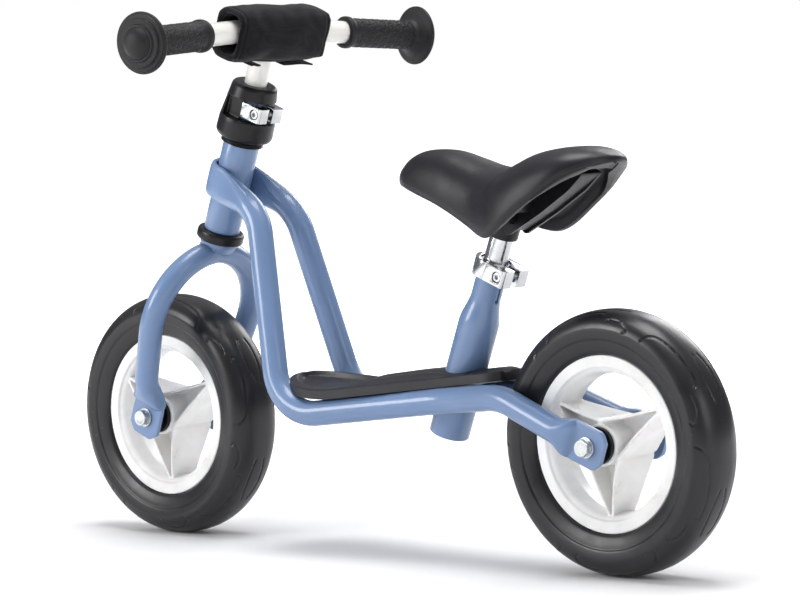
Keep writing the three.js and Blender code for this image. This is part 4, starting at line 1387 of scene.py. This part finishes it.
@dataclass
class HeadCover:
    """The moulded cap over the steerer, with a window for the clamp that reaches round to its sides."""

    low: float = 264.6
    top: float = 315.0
    foot_radius: float = 19.8
    belly_radius: float = 25.2
    top_radius: float = 19.9
    stem_radius: float = 10.8
    wall: float = 1.6
    window: tuple[float, float] = (284.4, 302.7)
    inner_radius: float = 14.9
    mouth_x: float = 4.6
    pocket_x: float = -11.0
    pocket_face: float = 15.9

    def shell(self) -> Shape:
        """Returns the cap before its window is cut."""
        low, top = self.low, self.top
        inner = self.inner_radius
        outside = softened([[self.foot_radius, low], [23.8, low + 1.8], [self.belly_radius, low + 4.8],
                            [24.9, low + 16.5], [self.top_radius + 1.2, top - 9],
                            [self.top_radius + 0.2, top - 2.4], [18.2, top],
                            [self.stem_radius, top]], 1.3, 4, False)
        inside = [[self.stem_radius, top - 6], [inner, top - 8], [inner, low + 3], [13.4, low + 3],
                  [13.4, low]]
        return turned(np.vstack([outside, inside]), 144)

    def box(self, x: tuple[float, float], y: tuple[float, float], z: tuple[float, float]) -> Shape:
        """Returns a plain box as a cutting tool."""
        outline = np.array([[x[0], y[0]], [x[1], y[0]], [x[1], y[1]], [x[0], y[1]]])
        return prism(outline, *z)

    def build(self, shop: Workshop) -> None:
        """Makes the cap.

        Args:
            shop: Makes and hands over the pieces.
        """
        cap = shop.blank("head_cap", self.shell(), shop.steering)
        tools = [shop.blank("mouth", self.box((self.mouth_x, 40), (-30, 30), self.window), shop.steering)]
        for side in (-1, 1):
            reach = sorted((side * self.pocket_face, side * 30))
            tools.append(shop.blank("pocket", self.box((self.pocket_x, 30), tuple(reach), self.window),
                                    shop.steering))
        shop.cut(cap, tools)
        shop.moulded(cap, 0.45, 3)
        shop.hand_over(cap, BLACK, "fork", ["head_cover"], 70)


# ---------- handlebar ----------
@dataclass
class Grip:
    """A rubber grip with a ribbed sleeve, a ring at its inner end and a stepped safety flange."""

    bore: float = 10.35
    sleeve_radius: float = 12.6
    inner_end: float = -83.0
    sides: int = 288

    def outline(self) -> np.ndarray:
        """Returns the section from the end of the bore over the dome and along the sleeve."""
        dome = [[14.0 * math.sin(a), 4.6 + 9.2 * math.cos(a)] for a in np.linspace(0.0, 1.35, 12)]
        steps = softened([[13.8, 6.8], [15.6, 6.6], [16.0, 5.0], [19.6, 5.2], [20.6, 4.6], [20.8, 2.9],
                          [24.0, 2.7], [24.4, 1.2], [25.6, 1.0], [26.2, 0.0], [26.0, -1.8], [24.6, -2.6],
                          [20.0, -3.4], [17.5, -4.8], [14.5, -7.0], [self.sleeve_radius, -9.5]],
                         0.5, 3, False)
        sleeve = [[self.sleeve_radius, y] for y in np.linspace(-10.5, -74.5, 200)]
        end = self.inner_end
        ring = softened([[self.sleeve_radius, end + 7.8], [12.9, end + 6.8], [14.1, end + 5.6],
                         [14.3, end + 3], [14.0, end + 0.6], [12.6, end], [self.bore, end],
                         [self.bore, 3.0]], 0.5, 3, False)
        return np.vstack([dome, steps, sleeve, ring, [[0.0, 3.0]]])

    def relief(self, turn: np.ndarray, along: np.ndarray) -> np.ndarray:
        """Returns how far the sleeve's pattern stands proud: bands of slanted lozenges.

        Args:
            turn: Degrees round the grip.
            along: Millimetres along the sleeve.
        """
        cell_turn, cell_long = 360 / 11, 8.0
        row = np.floor(along / cell_long)
        u = (turn / cell_turn + 0.5 * (row % 2) + 0.28 * along / cell_long) % 1 - 0.5
        v = (along / cell_long) % 1 - 0.5
        edge = np.maximum(np.abs(u) / 0.36, np.abs(v) / 0.36)
        ring = 1 - np.clip(np.abs(edge - 0.82) / 0.2, 0, 1)
        dot = 1 - np.clip(edge / 0.34, 0, 1)
        fade = np.clip((along + 73) / 2, 0, 1) * np.clip((-11.5 - along) / 2, 0, 1)
        return 0.42 * np.maximum(ring, np.sqrt(dot)) * fade

    def shape(self) -> Shape:
        """Returns the whole grip along +Z, with its flange at zero."""
        outline = self.outline()
        body = turned(outline, self.sides, False)
        rows = len(outline) - 2
        points = body.points[:rows * self.sides].reshape(rows, self.sides, 3)
        angle = np.linspace(0, 2 * math.pi, self.sides, endpoint=False)
        on_sleeve = (np.abs(outline[1:-1, 0] - self.sleeve_radius) < 0.01)[:, None]
        rise = self.relief(np.degrees(angle)[None, :], outline[1:-1, 1, None]) * on_sleeve
        points[:, :, 0] += rise * np.cos(angle)
        points[:, :, 1] += rise * np.sin(angle)
        return body


@dataclass
class BarPad:
    """A padded cloth sleeve wrapped round the bar, open at its ends, with two closing flaps below."""

    half: float = 55.5
    middle: float = 3.5
    front: float = -17.0
    rear: float = 20.6
    low: float = -25.5
    high: float = 23.4
    corner: float = 12.0
    wall: float = 6.0
    cell: float = 4.2
    most_swell: float = 2.2
    frames: int = 20

    def ring(self, inset: float, shrink: float, count: int = 96) -> np.ndarray:
        """Returns the sleeve's section, across and up, with its lower side open at the stem.

        Args:
            inset: Distance inside the outer skin.
            shrink: How far the whole section is drawn in.
            count: Points round it.
        """
        low, high = self.low + inset + shrink, self.high - inset - shrink
        front, rear = self.front + inset + shrink, self.rear - inset - shrink
        corners = [[front, low], [rear, low], [rear, high], [front, high]]
        outline = softened(corners, max(self.corner - inset, 3.0), 8)
        closed = np.vstack([outline, outline[:1]])
        run = np.concatenate([[0], np.cumsum(np.linalg.norm(np.diff(closed, axis=0), axis=1))])
        at = np.linspace(0, run[-1], count, endpoint=False)
        return np.column_stack([np.interp(at, run, closed[:, k]) for k in (0, 1)])

    def sleeve(self, height: float) -> Shape:
        """Returns the thick sleeve before it swells, along Y.

        Args:
            height: Where the bar's middle lies.
        """
        rows = []
        stations = np.linspace(-self.half, self.half, 40)

        def at(y: float, section: np.ndarray) -> np.ndarray:
            """Stands a section at a place along the bar."""
            ends = smooth(abs(y), self.half - 16, self.half)
            wave = 1.0 * math.sin(y * 0.11 + 0.6)
            x = section[:, 0] * (1 - 0.05 * ends) + 0.35 * wave
            z = section[:, 1] * (1 - 0.04 * ends) - 0.4 * wave
            return np.column_stack([x, np.full(len(section), y + self.middle), z + height])

        for y in stations:
            rows.append(at(y, self.ring(0.0, 1.0)))
        for y in stations[::-1]:
            rows.append(at(y, self.ring(self.wall, 1.0)))
        return grid(np.array(rows), True, True)

    def swollen(self, shop: Workshop, pad: bpy.types.Object) -> None:
        """Fills the sleeve by cloth simulation, within a few millimetres of its shape.

        Args:
            shop: Applies the modifiers.
            pad: The sleeve, which is changed.
        """
        remesh = pad.modifiers.new("skin", "REMESH")
        remesh.mode = "VOXEL"
        remesh.voxel_size = self.cell * MM
        shop.outward(pad)
        shop.baked(pad)
        count = len(pad.data.vertices)
        before = np.empty(count * 3)
        pad.data.vertices.foreach_get("co", before)
        cloth = pad.modifiers.new("fill", "CLOTH")
        cloth.settings.use_pressure = True
        cloth.settings.uniform_pressure_force = 4.0
        cloth.settings.quality = 6
        cloth.settings.mass = 0.3
        cloth.settings.tension_stiffness = 12.0
        cloth.settings.compression_stiffness = 12.0
        cloth.settings.shear_stiffness = 6.0
        cloth.settings.bending_stiffness = 0.6
        cloth.settings.effector_weights.gravity = 0.0
        scene = bpy.context.scene
        for number in range(1, self.frames + 1):
            scene.frame_set(number)
        shop.baked(pad)
        scene.frame_set(1)
        after = np.empty(count * 3)
        pad.data.vertices.foreach_get("co", after)
        move = (after - before).reshape(-1, 3)
        length = np.linalg.norm(move, axis=1)[:, None]
        most = self.most_swell * MM
        move *= np.minimum(1.0, most / np.maximum(length, 1e-9))
        pad.data.vertices.foreach_set("co", (before.reshape(-1, 3) + move).ravel())
        pad.data.update()

    def creased(self, pad: bpy.types.Object, height: float) -> None:
        """Presses soft folds into the cloth, after it has swollen.

        Args:
            pad: The sleeve.
            height: Where the bar's middle lies.
        """
        count = len(pad.data.vertices)
        points = np.empty(count * 3)
        normals = np.empty(count * 3)
        pad.data.vertices.foreach_get("co", points)
        pad.data.vertices.foreach_get("normal", normals)
        points, normals = points.reshape(-1, 3) / MM, normals.reshape(-1, 3)
        x, y, z = points[:, 0], points[:, 1] - self.middle, points[:, 2] - height
        folds = 0.35 * np.sin(0.12 * y + 0.10 * z + 1.0) * np.sin(0.05 * y - 0.21 * z)
        folds += 0.22 * np.sin(0.33 * y + 0.45 * z + 0.4 * x) * np.exp(-((np.abs(y) - 34) / 15) ** 2)
        seam = -0.7 * np.exp(-((np.abs(y) - (self.half - 5.5)) / 0.9) ** 2)
        low_seam = -0.6 * np.exp(-((z - self.low - 3.5) / 0.9) ** 2) * (x > 0)
        points += normals * (folds + seam + low_seam)[:, None]
        pad.data.vertices.foreach_set("co", (points * MM).ravel())
        pad.data.update()

    def flap(self, height: float, side: int) -> Shape:
        """Returns a closing flap: a thin strip that lies under the sleeve and curls at its end.

        Args:
            height: Where the bar's middle lies.
            side: -1 for the left flap, 1 for the right.
        """
        inner, outer = (13.0, 27.0) if side < 0 else (15.5, self.half - 7)
        rows = []
        for t in np.linspace(0, 1, 26):
            y = side * mix(inner, outer, t) + self.middle * t
            curl = 1.4 * math.sin(5.5 * t + (0.6 if side < 0 else 2.0)) * t
            across = np.linspace(-1, 1, 20)
            rows.append([[u * 11.5 + 2.0, y, height + self.low - under - curl * 0.6 + 0.7 * u * u]
                         for under, run in ((1.2, across), (2.7, across[::-1])) for u in run])
        return grid(np.array(rows), False, True, caps=True)

    def build(self, shop: Workshop, height: float) -> None:
        """Makes the sleeve and its flaps.

        Args:
            shop: Makes and hands over the pieces.
            height: Where the bar's middle lies along the steering axis.
        """
        pad = shop.blank("bar_sleeve", self.sleeve(height), shop.steering)
        self.swollen(shop, pad)
        smoothed = pad.modifiers.new("fine", "SUBSURF")
        smoothed.levels = 2
        shop.baked(pad)
        self.creased(pad, height)
        shop.hand_over(pad, FABRIC, "handlebar", ["bar_pad"], 180)
        for hand, side in SIDES.items():
            flap = shop.blank(f"bar_flap_{hand}", self.flap(height, side), shop.steering)
            shop.bevelled(flap, 0.5, 2)
            shop.hand_over(flap, FABRIC, "handlebar", (), 50)


@dataclass
class Handlebar:
    """The swept white bar on its stem, two grips and the pad."""

    height: float = 363.4
    radius: float = 10.0
    bend_y: float = 35.0
    sweep: float = math.radians(9.1)
    flange_y: float = 168.0
    stem_low: float = 205.0
    grip: Grip = field(default_factory=Grip)
    pad: BarPad = field(default_factory=BarPad)

    def line(self) -> list[Vector]:
        """Returns the bar's middle line in the steering frame."""
        run = (self.flange_y - self.bend_y) / math.cos(self.sweep) + 2.4
        across, out = run * math.sin(self.sweep), run * math.cos(self.sweep)
        half = ((across, self.bend_y + out), (0, self.bend_y))
        corners = [(x, -y) for x, y in half] + list(half[::-1])
        return bent_line([Vector((x, y, self.height)) for x, y in corners], [60, 60], 1.5)

    def build(self, shop: Workshop) -> None:
        """Makes the bar, the stem, the grips and the pad.

        Args:
            shop: Makes and hands over the pieces.
        """
        shop.piece("bar_tube", swept(self.line(), round_section(self.radius), UP, 64), shop.steering, WHITE,
                   "handlebar", ["crossbar"])
        outline = softened(band(8, self.radius, self.stem_low, self.height - 2), 0.4, 2)
        stem = shop.blank("bar_stem", turned(outline, 80), shop.steering)
        cope = shop.blank("cope", swept(self.line(), round_section(self.radius + 0.05), UP, 64, 6),
                          shop.steering)
        shop.cut(stem, [cope])
        shop.hand_over(stem, WHITE, "handlebar", ["stem"])
        turn = np.linspace(0, 2 * math.pi, 72)
        weld = self.radius + 0.4
        joint = [Vector((weld * math.cos(a), weld * math.sin(a), self.height - math.sqrt(
            max(self.radius ** 2 - (self.radius * math.cos(a)) ** 2, 0)))) for a in turn[4:-4]]
        shop.piece("bar_weld", WeldBead(1.0).along(joint, UP), shop.steering, WHITE, "handlebar")
        shape = self.grip.shape()
        reach = (self.flange_y - self.bend_y) / math.cos(self.sweep)
        for hand, side in SIDES.items():
            place = Vector((reach * math.sin(self.sweep), side * (self.bend_y + reach * math.cos(self.sweep)),
                            self.height))
            aim = Vector((math.sin(self.sweep), side * math.cos(self.sweep), 0))
            turn_to = UP.rotation_difference(aim).to_matrix().to_4x4()
            shop.piece(f"bar_grip_{hand}", shape, shop.steering @ Matrix.Translation(place) @ turn_to, GRIP,
                       "handlebar", [f"grip_{hand}"], 50)
        self.pad.build(shop, self.height)


# ---------- footboard ----------
@dataclass
class Footboard:
    """The moulded step: a dished front lobe, a crowned waist and a ribbed tail behind the seat tube."""

    nose: float = -93.6
    tail: float = 148.6
    lobe: float = -42.0
    lobe_half: float = 51.6
    tail_half: float = 28.6
    wall: float = 8.0
    slope: float = 0.117
    foot: float = 144.3
    margin: float = 9.0
    lines: tuple[float, ...] = (110.0, 127.0, 133.0)  # fine grooves across the tail
    bracket_height: float = 133.5
    screw_y: float = 15.0

    def half(self, x: float) -> float:
        """Returns the half width at a place along the board."""
        waist = mix(self.lobe_half, self.tail_half, smooth(x, self.lobe, 128))
        to_nose = max(self.lobe - x, 0) / (self.lobe - self.nose)
        to_tail = max(x - (self.tail - 14), 0) / 14
        return waist * math.sqrt(max(1 - to_nose ** 2, 0)) * math.sqrt(max(1 - 0.55 * to_tail ** 2.5, 0))

    def rim(self, x: float) -> float:
        """Returns the height of the edge at a place along the board."""
        return self.foot + self.slope * x + 8.3 * (max(-20 - x, 0) / 48) ** 1.6

    def lift(self, x: float, inside: float) -> float:
        """Returns how far the top stands over the edge.

        Args:
            x: The place along the board.
            inside: Distance from the edge.
        """
        rear = smooth(x, -38, 30)
        edge = 1.2 * (1 - (1 - min(inside / 1.6, 1.0)) ** 2)
        bevel = mix(1.2, 4.6, rear) * min(max(inside - 1.2, 0) / self.margin, 1.0)
        dish = -4.6 * (1 - rear) * smooth(inside, self.margin - 1.0, self.margin + 9)
        crown = 2.6 * rear * smooth(inside, self.margin, self.margin + 14)
        tail = -(4.8 * smooth(x, 62, 112) + 1.6 * smooth(x, 134, self.tail)) * smooth(inside, 0, 8)
        cut = -0.9 * sum(math.exp(-((x - at) / 0.7) ** 2) for at in self.lines) * smooth(inside, 0, 1.5)
        return edge + bevel + dish + crown + tail + cut

    def shape(self) -> Shape:
        """Returns the board before it is notched for the tubes."""
        front = [mix(self.nose, self.lobe, t ** 2) for t in np.linspace(0, 1, 40)]
        stations = front + list(np.linspace(self.lobe, self.tail - 14, 150)[1:])
        stations += [mix(self.tail - 14, self.tail, 1 - (1 - t) ** 2) for t in np.linspace(0, 1, 20)[1:]]
        rows = []
        for x in stations:
            half, rim = max(self.half(x), 0.8), self.rim(x)
            ring = [[x, y * half, rim - self.wall + 0.8 * abs(y) ** 12] for y in np.linspace(-1, 1, 15)]
            share = np.concatenate([1 - 0.16 * np.linspace(0, 1, 12), np.linspace(0.84, -0.84, 50)[1:-1],
                                    -1 + 0.16 * np.linspace(1, 0, 12)])
            inside = half * (1 - np.abs(share))
            ring += [[x, s * half, rim + min(half / 16, 1.0) * self.lift(x, d)]
                     for s, d in zip(share, inside)]
            rows.append(ring)
        return grid(np.array(rows), False, True, caps=True)

    def build(self, shop: Workshop, tubes: Sequence[SideTube]) -> None:
        """Makes the board, its bracket and screws.

        Args:
            shop: Makes and hands over the pieces.
            tubes: The tubes that it sits on, which notch it.
        """
        board = shop.blank("step_board", self.shape(), Matrix.Identity(4))
        tools = [shop.blank("notch", swept(tube.line(shop), round_section(tube.radius + 0.3), shop.upright,
                                           28, 5), Matrix.Identity(4)) for tube in tubes]
        tools.append(shop.blank("tube_hole", rod(17.45, 0, 100, 72), shop.seating))
        shop.cut(board, tools)
        shop.hand_over(board, BOARD, "frame", ["footboard"], 32)

        tilt = Matrix.Rotation(-math.atan(self.slope), 4, "Y")
        low = Matrix.Translation((0, 0, self.bracket_height)) @ tilt
        plate = softened([[-14, -28.2], [14, -25.0], [14, 25.0], [-14, 28.2]], 2.0, 4)
        bracket = shop.blank("step_bracket", prism(plate, -1.4, 1.4), low)
        holes = [shop.blank("hole", rod(2.4, -9, 9, 32).moved(
            Matrix.Translation((0, self.screw_y * side, 0))), low) for side in SIDES.values()]
        shop.cut(bracket, holes)
        shop.bevelled(bracket, 0.5, 2)
        shop.hand_over(bracket, BLUE, "frame", ["footboard_bracket"])
        arm = np.array([[-2.2, -0.5], [2.2, -0.5], [2.2, 0.5], [-2.2, 0.5]])
        for hand, side in SIDES.items():
            place = Matrix.Translation((0, self.screw_y * side, 0))
            head = softened([[0, 127.6], [2.6, 127.6], [4.3, 128.9], [4.3, 129.9], [2.0, 129.9],
                             [2.0, 141], [0, 141]], 0.3, 2, False)
            screw = shop.blank(f"step_screw_{hand}", turned(head, 40, False), place)
            shop.cut(screw, [shop.blank("cross", prism(arm, 127, 128.9).moved(
                Matrix.Rotation(math.radians(a), 4, "Z")), place) for a in (0, 90)])
            shop.hand_over(screw, ZINC, "frame", [f"footboard_screw_{hand}"], 30)


# ---------- saddle ----------
@dataclass
class Saddle:
    """A soft moulded shell with a rolled rim and an open underside, on a ribbed base and a post."""

    lip: float = 6.5
    recess: float = 15.0
    stations: int = 130
    around: int = 84
    post_radius: float = 10.0
    post: tuple[float, float] = (22.5, 211.4)
    socket_low: float = 178.0
    screw_height: float = 190.0
    # the place along the saddle, its half width, the height of its rim and of its crown
    ribs: tuple[tuple[float, float, float, float], ...] = (
        (31.8, 3.0, 318.2, 321.6), (33.2, 8.5, 316.4, 325.6), (38.0, 14.0, 314.0, 330.5),
        (50.0, 22.0, 311.5, 338.3), (66.0, 27.2, 307.0, 342.6), (90.0, 31.5, 299.5, 342.0),
        (112.0, 34.5, 290.5, 336.2), (133.0, 38.5, 281.0, 329.9), (150.0, 45.0, 274.4, 327.2),
        (162.0, 50.0, 273.4, 328.8), (175.0, 52.3, 279.5, 333.8), (194.0, 51.8, 293.0, 340.6),
        (215.0, 48.8, 307.5, 344.0), (232.0, 42.2, 319.5, 344.4), (245.5, 32.5, 326.3, 342.2),
        (253.5, 22.0, 329.6, 339.2), (258.2, 11.0, 331.4, 337.0), (259.6, 4.0, 332.4, 334.8),
    )

    def section(self, x: float, half: float, rim: float, crown: float) -> np.ndarray:
        """Returns the closed section at a place along the saddle.

        Args:
            x: The place.
            half: Its half width.
            rim: The height of the rim.
            crown: The height of the middle.
        """
        turn = np.linspace(0, math.pi, self.around)
        power = mix(0.86, 0.74, smooth(x, 60, 200))
        spread = np.sign(np.cos(turn)) * np.abs(np.cos(turn)) ** power
        rise = np.sin(turn) ** 0.84
        height = mix(rim, crown, rise)
        up = height - rim
        groove = 0.55 * np.exp(-((up - 3.0) / 0.75) ** 2) * min(half / 20, 1.0)
        tuck = 1.3 * np.exp(-(up / 1.6) ** 2) * min(half / 20, 1.0)
        outer = np.column_stack([np.full(self.around, x), -spread * half + np.sign(spread) * (groove + tuck),
                                 height])
        room = smooth(half - self.lip, 3, 20) * (1 - smooth(x, 226, 243))
        lip = min(self.lip + 16 * smooth(x, 205, 246), half * 0.5)
        ceiling = min(rim + 1.5 + self.recess * room, crown - 4.5)
        inner = [[x, half - lip * 0.55, rim - 0.5], [x, half - lip, rim + 0.6 * room]]
        for share in np.linspace(1, -1, 17):
            drop = (abs(share) ** 5) * (ceiling - rim) * 0.5
            inner.append([x, share * (half - lip - 1.2 * room), ceiling - drop])
        inner += [[x, -(half - lip), rim + 0.6 * room], [x, -(half - lip * 0.55), rim - 0.5]]
        return np.vstack([outer, inner])

    def shell(self) -> Shape:
        """Returns the saddle's shell."""
        rows = [self.section(*station) for station in curve_through(self.ribs, self.stations)]
        return grid(np.array(rows), False, True, caps=True)

    def base(self) -> Shape:
        """Returns the socket for the post with its fins, in the seat tube's frame."""
        low = self.socket_low
        socket = turned(softened([[10.35, low], [12.7, low], [13.0, low + 2], [13.0, 215], [10.35, 215]],
                                 0.5, 3), 80)
        lid = turned(softened(band(0, 13.0, 212, 216), 0.4, 2, False), 80, False)
        fins = []
        for y, thick, sink in ((-11.5, 1.3, 0.0), (11.5, 1.3, 0.0), (0.0, 11.0, 3.2)):
            outline = softened([[9, low + 9 + sink], [15, low + 7 + sink], [40, 214 + sink], [62, 243 + sink],
                                [72, 262], [60, 262], [9, 232]], 3.5, 4)
            fin = prism(outline, -thick, thick).moved(Matrix.Rotation(math.pi / 2, 4, "X"))
            fins.append(fin.moved(Matrix.Translation((0, y, 0))))
        cross = []
        for x, height in ((17.0, 197.0), (30.0, 213.0)):
            rows = [[[x - 1.1, y, height], [x + 1.1, y, height], [x + 1.1, y, height + 18],
                     [x - 1.1, y, height + 18]] for y in np.linspace(-29, 29, 12)]
            cross.append(grid(np.array(rows), False, True, caps=True))
        return joined([socket, lid, *fins, *cross])

    def build(self, shop: Workshop) -> None:
        """Makes the shell, the base, the post and the screw.

        Args:
            shop: Makes and hands over the pieces.
        """
        shell = shop.blank("saddle_cover", self.shell(), Matrix.Identity(4))
        shop.outward(shell)
        shop.hand_over(shell, SADDLE, "saddle", ["saddle_shell"], 55)
        base = shop.blank("saddle_socket", self.base(), shop.seating)
        shop.outward(base)
        shop.hand_over(base, BLACK, "saddle", ["saddle_base"], 35)
        outline = softened(band(8, self.post_radius, *self.post), 0.4, 2)
        shop.piece("saddle_post", turned(outline, 96), shop.seating, CHROME, "saddle", ["seat_post"])
        across = shop.seating @ Matrix.Translation((0, 0, self.screw_height)) @ ABOUT_Y
        screw = turned(softened([[0, -16.2], [3.4, -16.2], [4.2, -15.2], [4.2, -13.5], [2.4, -13.5],
                                 [2.4, 12], [0, 12]], 0.3, 2, False), 48, False)
        shop.piece("saddle_cross_screw", screw, across, ZINC, "saddle", ["saddle_screw"], 30)


# ---------- studio ----------
@dataclass
class Studio:
    """A white floor, soft lights and the camera."""

    camera_spot: tuple[float, float, float] = (1.9675, -2.0945, 0.4216)
    camera_aim: tuple[float, float, float] = (0.02096, 0.0, 0.2151)
    camera_roll: float = math.radians(-1.94)
    lens: float = 152.9
    floor_size: float = 60.0

    def light(self, name: str, spot: tuple[float, float, float], size: float, power: float) -> None:
        """Hangs a square soft light that faces the bike.

        Args:
            name: The light's name.
            spot: Where it hangs, in metres.
            size: Its side, in metres.
            power: Watts.
        """
        lamp = bpy.data.lights.new(name, "AREA")
        lamp.shape = "SQUARE"
        lamp.size = size
        lamp.energy = power
        piece = bpy.data.objects.new(name, lamp)
        bpy.context.scene.collection.objects.link(piece)
        piece.location = spot
        aim = Vector((0, 0, 0.2)) - Vector(spot)
        piece.rotation_euler = aim.to_track_quat("-Z", "Y").to_euler()

    def floor(self) -> None:
        """Lays the floor."""
        half = self.floor_size / 2
        mesh = bpy.data.meshes.new("studio_floor")
        mesh.from_pydata([(-half, -half, 0), (half, -half, 0), (half, half, 0), (-half, half, 0)], [],
                         [(0, 1, 2, 3)])
        floor = bpy.data.objects.new("studio_floor", mesh)
        bpy.context.scene.collection.objects.link(floor)
        nodes = NodeTree("studio_floor")
        nodes.set(Base_Color=(0.85, 0.85, 0.855), Roughness=0.95, Specular_IOR_Level=0.0,
                  Emission_Color=(1.0, 1.0, 1.0))
        away = nodes.add("VectorMath")
        away.operation = "LENGTH"
        nodes.tree.links.new(nodes.place, away.inputs[0])
        nodes.wire(Emission_Strength=nodes.ramp(away.outputs["Value"], 0.55, 1.6, (0.02, 1.0)))
        mesh.materials.append(nodes.material)

    def sky(self) -> None:
        """Lights the room evenly and keeps its walls white behind the bike."""
        world = bpy.data.worlds.new("studio")
        bpy.context.scene.world = world
        world.use_nodes = True
        tree = world.node_tree
        background = tree.nodes["Background"]
        background.inputs["Strength"].default_value = 1.0
        path = tree.nodes.new("ShaderNodeLightPath")
        place = tree.nodes.new("ShaderNodeTexCoord")
        height = tree.nodes.new("ShaderNodeSeparateXYZ")
        tree.links.new(place.outputs["Generated"], height.inputs["Vector"])
        dome = tree.nodes.new("ShaderNodeValToRGB")
        stops = dome.color_ramp.elements
        stops[0].position, stops[0].color = 0.08, (0.10, 0.102, 0.11, 1.0)
        stops[1].position, stops[1].color = 0.75, (0.50, 0.505, 0.525, 1.0)
        tree.links.new(height.outputs["Z"], dome.inputs["Fac"])
        mix_node = tree.nodes.new("ShaderNodeMix")
        mix_node.data_type = "RGBA"
        tree.links.new(dome.outputs["Color"], mix_node.inputs["A"])
        mix_node.inputs["B"].default_value = (1.0, 1.0, 1.0, 1.0)
        tree.links.new(path.outputs["Is Camera Ray"], mix_node.inputs["Factor"])
        tree.links.new(mix_node.outputs["Result"], background.inputs["Color"])

    def camera(self) -> None:
        """Sets the camera up."""
        lens = bpy.data.cameras.new("camera")
        lens.lens = self.lens
        lens.sensor_width = 36.0
        lens.sensor_fit = "HORIZONTAL"
        lens.clip_end = 100.0
        camera = bpy.data.objects.new("camera", lens)
        bpy.context.scene.collection.objects.link(camera)
        aim = Vector(self.camera_aim) - Vector(self.camera_spot)
        turn = aim.to_track_quat("-Z", "Y") @ Quaternion((0, 0, 1), self.camera_roll)
        camera.rotation_mode = "QUATERNION"
        camera.rotation_quaternion = turn
        camera.location = self.camera_spot
        bpy.context.scene.camera = camera

    def build(self) -> None:
        """Builds the whole studio."""
        self.floor()
        self.sky()
        for name, spot, size, power in (("overhead", (0.1, 0.1, 2.3), 1.3, 40.0),
                                        ("key", (-1.5, -2.3, 1.2), 1.1, 42.0),
                                        ("fill", (2.5, -0.1, 1.0), 0.9, 9.0),
                                        ("back", (-0.6, 2.5, 1.4), 1.2, 24.0)):
            self.light(name, spot, size, power)
        bpy.context.scene.view_settings.view_transform = "Standard"
        self.camera()


def main() -> None:
    """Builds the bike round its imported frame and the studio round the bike."""
    logging.basicConfig(level=logging.INFO, format="%(message)s")
    shop = Workshop(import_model())
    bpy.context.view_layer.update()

    Studio().build()
    tubes = [SideTube("left"), SideTube("right")]
    for tube in tubes:
        tube.build(shop)
    HeadTube().build(shop)
    SeatTube().build(shop)
    Clamp("seat_clamp", shop.seating, "frame", outer=16.8, neck=16.3, shoulder=4.6, side=16.6, tip=16.2,
          rear=25.2, slot=3.4, low=142.4, high=157.2, screw_x=17.6, grip=16.2).build(shop)
    Footboard().build(shop, tubes)
    Fork().build(shop)
    HeadCover().build(shop)
    Clamp("stem_clamp", shop.steering, "fork", outer=14.6, neck=14.0, shoulder=5.0, side=16.4, tip=13.6,
          rear=26.2, slot=2.7, low=286.9, high=299.9, screw_x=19.4, grip=14.4).build(shop)
    Handlebar().build(shop)
    Wheel("front", shop.front, "front_wheel", turned_about=True).build(shop)
    Wheel("rear", shop.rear, "rear_wheel").build(shop)
    Axle("front", shop.steering, "fork").build(shop)
    Axle("rear", shop.rear, "frame").build(shop)
    Saddle().build(shop)


if __name__ == "__main__":
    main()
